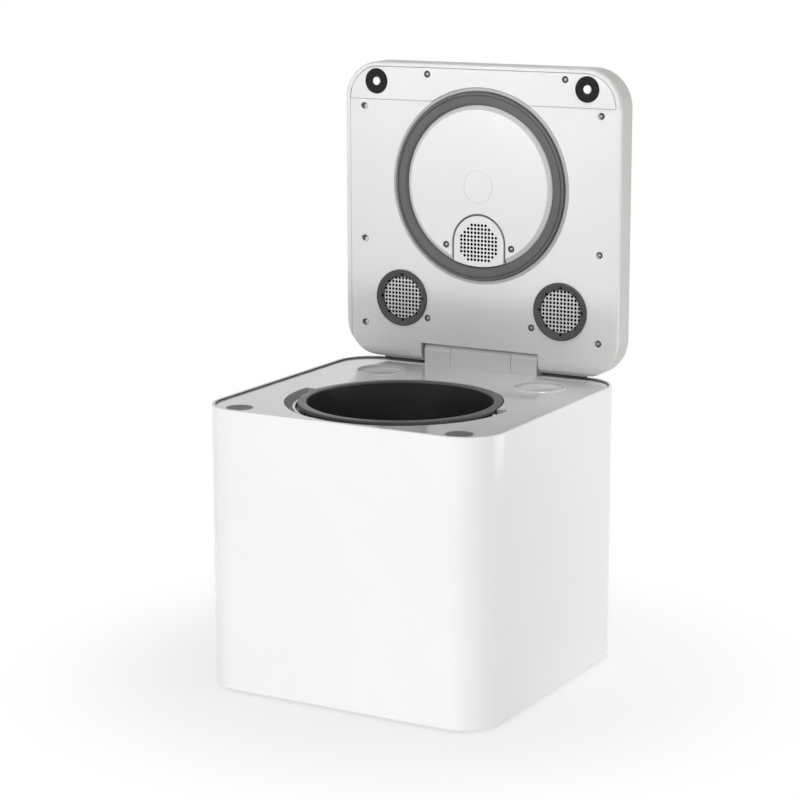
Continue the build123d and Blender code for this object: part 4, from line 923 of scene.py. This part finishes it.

# %% [markdown]
# ## The lid's border
# A bead runs round the lid's face, a little proud of the panel. Where it goes round the strip, at
# the lid's upper end, it is painted a shade darker: painted shade. It could be a bevelled curve,
# but its two edges differ. So a rounded plate gets its outer edge bevelled, and a second plate cuts
# out the middle. The inner edge stays crisp, and the joint beside the strip reads as a fine line.

# %% The border
panel_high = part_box("lid_inner_panel")[1]
shell_low, shell_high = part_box("lid_shell")
shell_corner = 38
border_play = 0.25
border_half = panel_high.x / mm - border_play
border_inside = 144.65
border_top = 566.15
border_foot = 284.6
border_y = face_y - 0.8
border_thick = 3.0
border = plate(
    (-border_half, shell_low.z / mm + border_play),
    (border_half, panel_high.z / mm - border_play),
    border_y + border_thick,
    border_thick,
    shell_corner - border_play,
    32,
)
soften(border, 1.6, 6, lambda spot, run: abs(spot.y - border_y * mm) < touch)
cut(
    border,
    plate(
        (-border_inside, 230), (border_inside, border_top), face_y + 8, 16, 33, 32,
        lambda spot: spot.z > 400,
    ),
)
trim_below(border, border_foot * mm)
close_up(border)
# Painted shade: the bead's upper part, round the strip, is a darker copy of the panel's white.
painted_bead_shade = moulded("painted_bead_shade", (0.65, 0.65, 0.645), 0.4)
bead_shade_floor = shell_high.z - shell_corner * mm
two_finishes(
    border, finishes["panel_white"], painted_bead_shade, lambda spot, normal: spot.z > bead_shade_floor
)
settle(border, "lid_border", "lid", "panel_white", flat=True)

# %% [markdown]
# ## The lid's rear edge
# The lid's outer shell ends in a tight edge at the back. The frame's shell is rounder there. It
# could be replaced as a whole, but a ring the size of that round is enough to fill it out to a
# sharper one. It starts where the round starts, so the two faces run on into each other.

# %% The rear edge
rim_size = 4.03
shell_back = shell_high.y / mm


def shell_plate(inset, back, thick):
    """A plate of the shell's outline, drawn in all round by so many millimetres."""
    half = shell_high.x / mm - inset
    return plate(
        (-half, shell_low.z / mm + inset),
        (half, shell_high.z / mm - inset),
        back,
        thick,
        shell_corner - inset,
        48,
    )


back_rim = shell_plate(0, shell_back, rim_size)
soften(back_rim, 1.2, 5, lambda spot, run: abs(spot.y - shell_high.y) < touch)
cut(back_rim, shell_plate(rim_size, shell_back + 4, 16))
close_up(back_rim)
settle(back_rim, "lid_back_rim", "lid", "lid_grey", flat=True)

# %% [markdown]
# ## The strip at the lid's front
# A crisp white strip, 0.9 mm proud, spans the lid past both catches. It takes the lid's own rounded
# corners, drawn in, so a plate with round corners is made too tall and cut off straight. Then its
# front edge is bevelled, and the catches, the screws and the gasket get their openings. A thin grey
# plate, a little larger, lies under it and shows as the fine line round the strip. Its grey is
# painted shadow in the gap round the strip; a real groove in the frame's panel would need a new
# panel.

# %% Its outline and openings
strip_low, strip_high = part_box("front_strip_cover")
strip_top = border_top - 0.8
catch_opening = 12.6
screw_opening = 3.45
gasket_opening = 96.3
strip_thick = 2.8


def strip_plate(grow, back, thick):
    """A plate of the strip's outline, grown by so many millimetres, still too tall."""
    return plate(
        (strip_low.x / mm - grow, 480),
        (strip_high.x / mm + grow, strip_top + grow),
        back,
        thick,
        32 + grow,
        20,
        lambda spot: spot.z > 500,
    )


def strip_openings(piece):
    """Cut the openings for the catches, the screws and the gasket."""
    for x in (-catch_x, catch_x):
        bore(piece, catch_opening, at(x, face_y, catch_z), -3, 3, 64)
    for x, z in strip_screws:
        bore(piece, screw_opening, at(x, face_y, z), -3, 3, 32)
    bore(piece, gasket_opening, ring_centre, -3, 3, 144)
    close_up(piece)


# %% The strip and the painted shadow round it
strip = strip_plate(0, strip_y + strip_thick, strip_thick)
trim_below(strip, strip_low.z)
front_face(strip, strip_y)
bpy.ops.mesh.bevel(offset=0.4 * mm, segments=3, profile=0.5, affect="EDGES")
rest()
strip_openings(strip)
settle(strip, "front_strip", "lid", "panel_white", "front_strip_cover", angle=20)

# Painted shadow: a grey plate that shows as the dark gap round the strip.
painted_gap_shade = moulded("painted_gap_shade", (0.30, 0.30, 0.295), 0.5)
strip_shadow_plate = strip_plate(1.2, face_y + 0.4, 0.45)
trim_below(strip_shadow_plate, strip_low.z - 0.2 * mm)
strip_openings(strip_shadow_plate)
settle(strip_shadow_plate, "strip_shadow_gap", "lid", "panel_white", finish=painted_gap_shade)

# %% [markdown]
# ## The sleeve
# The body is one glossy white sleeve with generous upright corners. A plane with bevelled corner
# points is extruded up, and its two ends are inset and bridged to leave the wall. A Solidify would
# give a wall too, but not the exact rim. Three loops of edges are bevelled: the rim's outer edge,
# which catches the light, its inner edge, and a larger round at the hem. The rear slots and the
# inlet's opening are cut last. Normals weighted by area keep the flat sides flat in reflections,
# which wide faces beside a rounded corner would otherwise lose.

# %% The sleeve's wall
sleeve_low, sleeve_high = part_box("outer_sleeve")
rim_level = sleeve_high.z / mm - 1.1
wall = 3.0
upright_corner = 39.0
sleeve = level_plane(
    sleeve_high.x - sleeve_low.x, sleeve_high.y - sleeve_low.y, sleeve_low.z, upright_corner, 32
)
sleeve_tall = rim_level * mm - sleeve_low.z
bpy.ops.mesh.extrude_region_move(TRANSFORM_OT_translate={"value": UP * sleeve_tall})
close_up(sleeve)
work_on(sleeve)
pick("FACE", lambda spot, normal: abs(normal.z) > 0.9)
bpy.ops.mesh.inset(thickness=wall * mm, depth=0)
bpy.ops.mesh.bridge_edge_loops()
rest()

# %% Its rounded edges
inner_x = sleeve_high.x - wall * mm
inner_y = sleeve_high.y - wall * mm


def wall_depth(spot):
    """How far out of the sleeve's inner outline a place lies, in millimetres."""
    reach = (upright_corner - wall) * mm
    across = max(abs(spot.x) - (inner_x - reach), 0)
    along = max(abs(spot.y) - (inner_y - reach), 0)
    return (math.hypot(across, along) - reach) / mm


rounds = (
    (rim_level * mm, wall, 0.9, 4),
    (rim_level * mm, 0, 0.4, 3),
    (sleeve_low.z, wall, 2.0, 5),
)
for level, depth, size, steps in rounds:
    soften(
        sleeve,
        size,
        steps,
        lambda spot, run: abs(spot.z - level) < touch
        and abs(run.z) < 0.01
        and abs(wall_depth(spot) - depth) < 0.1,
    )

# %% Slots and inlet at the rear
rear_y = 152
slot_pitch, slot_half, slot_reach = 8, 2, 17
inlet_half_x, inlet_half_z = 13.8, 10.3


def rear_cut(x, z, half_x, half_z, corner):
    """Cut a rounded opening through the sleeve's rear wall."""
    cut(sleeve, plate((x - half_x, z - half_z), (x + half_x, z + half_z), rear_y, 12, corner, 8))


fan_z = middle_of("exhaust_fan_frame")[2] / mm
for k in range(-3, 4):
    rear_cut(slot_pitch * k, fan_z, slot_half, slot_reach, slot_half - 0.01)
inlet_x, _, inlet_z = (metres / mm for metres in middle_of("power_inlet"))
rear_cut(inlet_x, inlet_z, inlet_half_x, inlet_half_z, 3)
close_up(sleeve)
settle(sleeve, "sleeve", "housing", "white_gloss", "outer_sleeve", flat=True)

# %% [markdown]
# ## The dark strip at the rim
# A thin dark strip stands in the joint between the sleeve and the deck. Its dark grey is painted
# shade, for the shaded inner wall of the sleeve's rim. From the front it shows only on the far
# sides, as a fine line. A dark line could be painted flat on the deck, but this one stands up like
# the wall.
# So a rounded plane is inset to a ring, its middle is deleted, and the ring is extruded up.

# %% The dark strip at the rim
deck_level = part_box("catch_discs")[1].z
rim_shade_half_x = 146.95
rim_shade_half_y = 144.45
rim_shade_corner = 36
rim_shade_wide = 0.85
rim_shade_tall = 1.45
rim_shade_sink = 0.2
rim_shade_strip = level_plane(
    2 * rim_shade_half_x * mm, 2 * rim_shade_half_y * mm, deck_level - rim_shade_sink * mm, rim_shade_corner, 20
)
bpy.ops.mesh.inset(thickness=rim_shade_wide * mm, depth=0)
bpy.ops.mesh.delete(type="FACE")
bpy.ops.mesh.select_all(action="SELECT")
bpy.ops.mesh.extrude_region_move(TRANSFORM_OT_translate={"value": UP * rim_shade_tall * mm})
close_up(rim_shade_strip)
soften(rim_shade_strip, 0.15, 2, lambda spot, run: spot.z > deck_level + mm and abs(run.z) < 0.01)
# Painted shade: the strip's dark grey stands for the shaded inner wall of the rim.
painted_rim_shade = moulded("painted_rim_shade", (0.14, 0.14, 0.142), 0.6)
settle(rim_shade_strip, "rim_shade_strip", "housing", "black_rubber", finish=painted_rim_shade)

# %% [markdown]
# ## The lip under the lid's rear edge
# On each side of the hinge the lid's shell ends in a short grey lip, with a black strip below it.
# The black strip is painted shadow, for the dark gap under the lid's lower edge. Both are bars with
# round lower edges. A bar with all its edges round would leave a gap under the shell, so only the
# lower ones are bevelled.

# %% The lip and the painted shadow strip
edge_near, edge_far = 64.5, 112
edge_y, edge_deep = 140.9, 4.4
for side, low_x, high_x in (("left", -edge_far, -edge_near), ("right", edge_near, edge_far)):
    for kind, slot, low_z, high_z in (
        ("lip", "lid_grey", -1.15, 0.25),
        # The black strip is painted shadow for the dark gap under the lid's edge.
        ("strip", "black_rubber", -1.95, -0.95),
    ):
        middle = at((low_x + high_x) / 2, edge_y, shell_low.z / mm + (low_z + high_z) / 2)
        bar = block(middle, ((high_x - low_x) * mm, edge_deep * mm, (high_z - low_z) * mm))
        soften(bar, 0.4, 3, lambda spot, run: abs(run.x) > 0.9 and spot.z < middle.z)
        settle(bar, f"{side}_edge_{kind}", "lid", slot)

# %% [markdown]
# ## The bucket
# A pressed pot: a flat rolled rim, a slightly tapering wall, a round corner and a raised dome over
# the coupling. It could be a cylinder with a Solidify, but the rim and the dome need their own
# steps, so one outline, inside and outside, is turned for the whole wall. The dark coating stops at
# the rim.

# %% The pot's outline
pot_centre = Vector((0, middle_of("shaft_bush")[1], 0))
rim_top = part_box("bucket")[1].z / mm
floor_top = rim_top - 175.5
mouth_radius = 87.4


def corner(centre_r, centre_z, radius, first, last, count=8):
    """Points of a round corner between two angles in degrees."""
    points = []
    for k in range(count + 1):
        turned = math.radians(first + (last - first) * k / count)
        points.append((centre_r + radius * math.cos(turned), centre_z + radius * math.sin(turned)))
    return points


def over_floor(*points):
    """Points given by their radius and their height over the pot's floor."""
    return [(radius, floor_top + height) for radius, height in points]


def under_rim(*points):
    """Points given by their radius and their depth under the rim's top."""
    return [(radius, rim_top - depth) for radius, depth in points]


pot_outline = [
    *under_rim((95.8, 3.4), (95.8, 0.8), (95.5, 0.2), (94.9, 0)),
    *under_rim((88.6, 0), (87.9, 0.2), (87.5, 0.8), (mouth_radius, 1.6)),
    *corner(72.8, floor_top + 12, 12, 0, -90),
    *over_floor((30, 0), (28.6, 0.8), (25.2, 12.6), (23.8, 14)),
    *over_floor((7.5, 14), (7.5, 12.4), (22.4, 12.4), (28, -1.6)),
    *corner(72.8, floor_top + 12, 13.6, -90, 0),
    *under_rim((89.0, 4.0), (95.2, 4.0), (95.8, 3.4)),
]

# %% The pot
pot = turn(pot_outline, pot_centre, UP, 144)
pot_rim = moulded("pot_rim", (0.09, 0.09, 0.092), 0.4, grain_depth=0.00001)
two_finishes(
    pot,
    finishes["pot_coating"],
    pot_rim,
    lambda spot, normal: spot.z > (rim_top - 4.2) * mm
    and math.hypot(spot.x, spot.y - pot_centre.y) > mouth_radius * mm,
)
settle(pot, "pot", "bucket", "pot_coating", "bucket")

# %% [markdown]
# ## The bucket's ears
# Two small ears under the rim carry the handle's pins. A pressed ear is a tongue with a round lower
# end. A turned disc would be too narrow at its top, so each is a block with its lower edges
# bevelled until they nearly meet in a curve.

# %% The ears
ear_size = at(8.8, 8.4, 8.3)
ear_reach = 93.1
pin_z = middle_of("handle_pins")[2]
for side, way in (("left", -1), ("right", 1)):
    ear = block((way * ear_reach * mm, pot_centre.y, pin_z - 0.1 * mm), ear_size)
    soften(ear, 3.6, 6, lambda spot, run: abs(run.x) > 0.9 and spot.z < pin_z)
    settle(ear, f"{side}_ear", "bucket", "pot_coating")

# %% [markdown]
# ## The filter ports
# A round rim stands up from the deck round each filter, with a flat cap sunk inside it. A torus
# would be too round for the rim, so it is a turned bead with a foot. The cap has a shallow dish for
# a finger. It lifts out with its canister, which is turned too, with nine shallow grooves round it.

# %% The outlines of rim, cap and canister
deck_top = deck_level / mm
cap_top = deck_top - 1.2
rim_bead = [
    (27.0, -0.3), (26.6, 0.15), (26.2, 0.75), (25.6, 1.1), (24.9, 1.2), (24.2, 1.05),
    (23.75, 0.6), (23.6, 0), (23.55, -2.6), (27.0, -2.6), (27.0, -0.3),
]
cap_dish = [
    (22.3, -4.0), (23.1, -3.8), (23.15, -0.5), (22.8, -0.1), (22.4, 0), (20.9, 0), (20.5, -0.2),
    (20.3, -0.6), (19.9, -0.8),
]
groove_count, groove_pitch = 9, 15.5
canister_wall = [(22.3, -4.0)]
for k in range(groove_count):
    level = -12 - groove_pitch * k
    canister_wall += [(22.3, level + 4), (21.9, level + 3.6)]
    canister_wall += [(21.9, level - 3.6), (22.3, level - 4)]
canister_wall += [(22.3, -152), (21.7, -153.6), (20.3, -154)]


def raised(outline, top):
    """An outline moved up to a height."""
    return [(radius, top + height) for radius, height in outline]


# %% Port rims, caps and canisters
port_x, port_y = 87.5, 87.5
for side, x in (("left", -port_x), ("right", port_x)):
    place = Vector((x * mm, port_y * mm, 0))
    filter_body, canister = f"{side}_filter", f"{side}_filter_canister"
    rim = turn(raised(rim_bead, deck_top), place, UP, 96)
    settle(rim, f"{side}_port_rim", "housing", "deck_grey")
    cap = turn(raised(cap_dish, cap_top), place, UP, 96, capped=True)
    settle(cap, f"{side}_filter_cap", filter_body, "deck_grey", canister)
    shell = turn(raised(canister_wall, cap_top), place, UP, 72, capped=True)
    settle(shell, f"{side}_filter_body", filter_body, "deck_grey", canister)
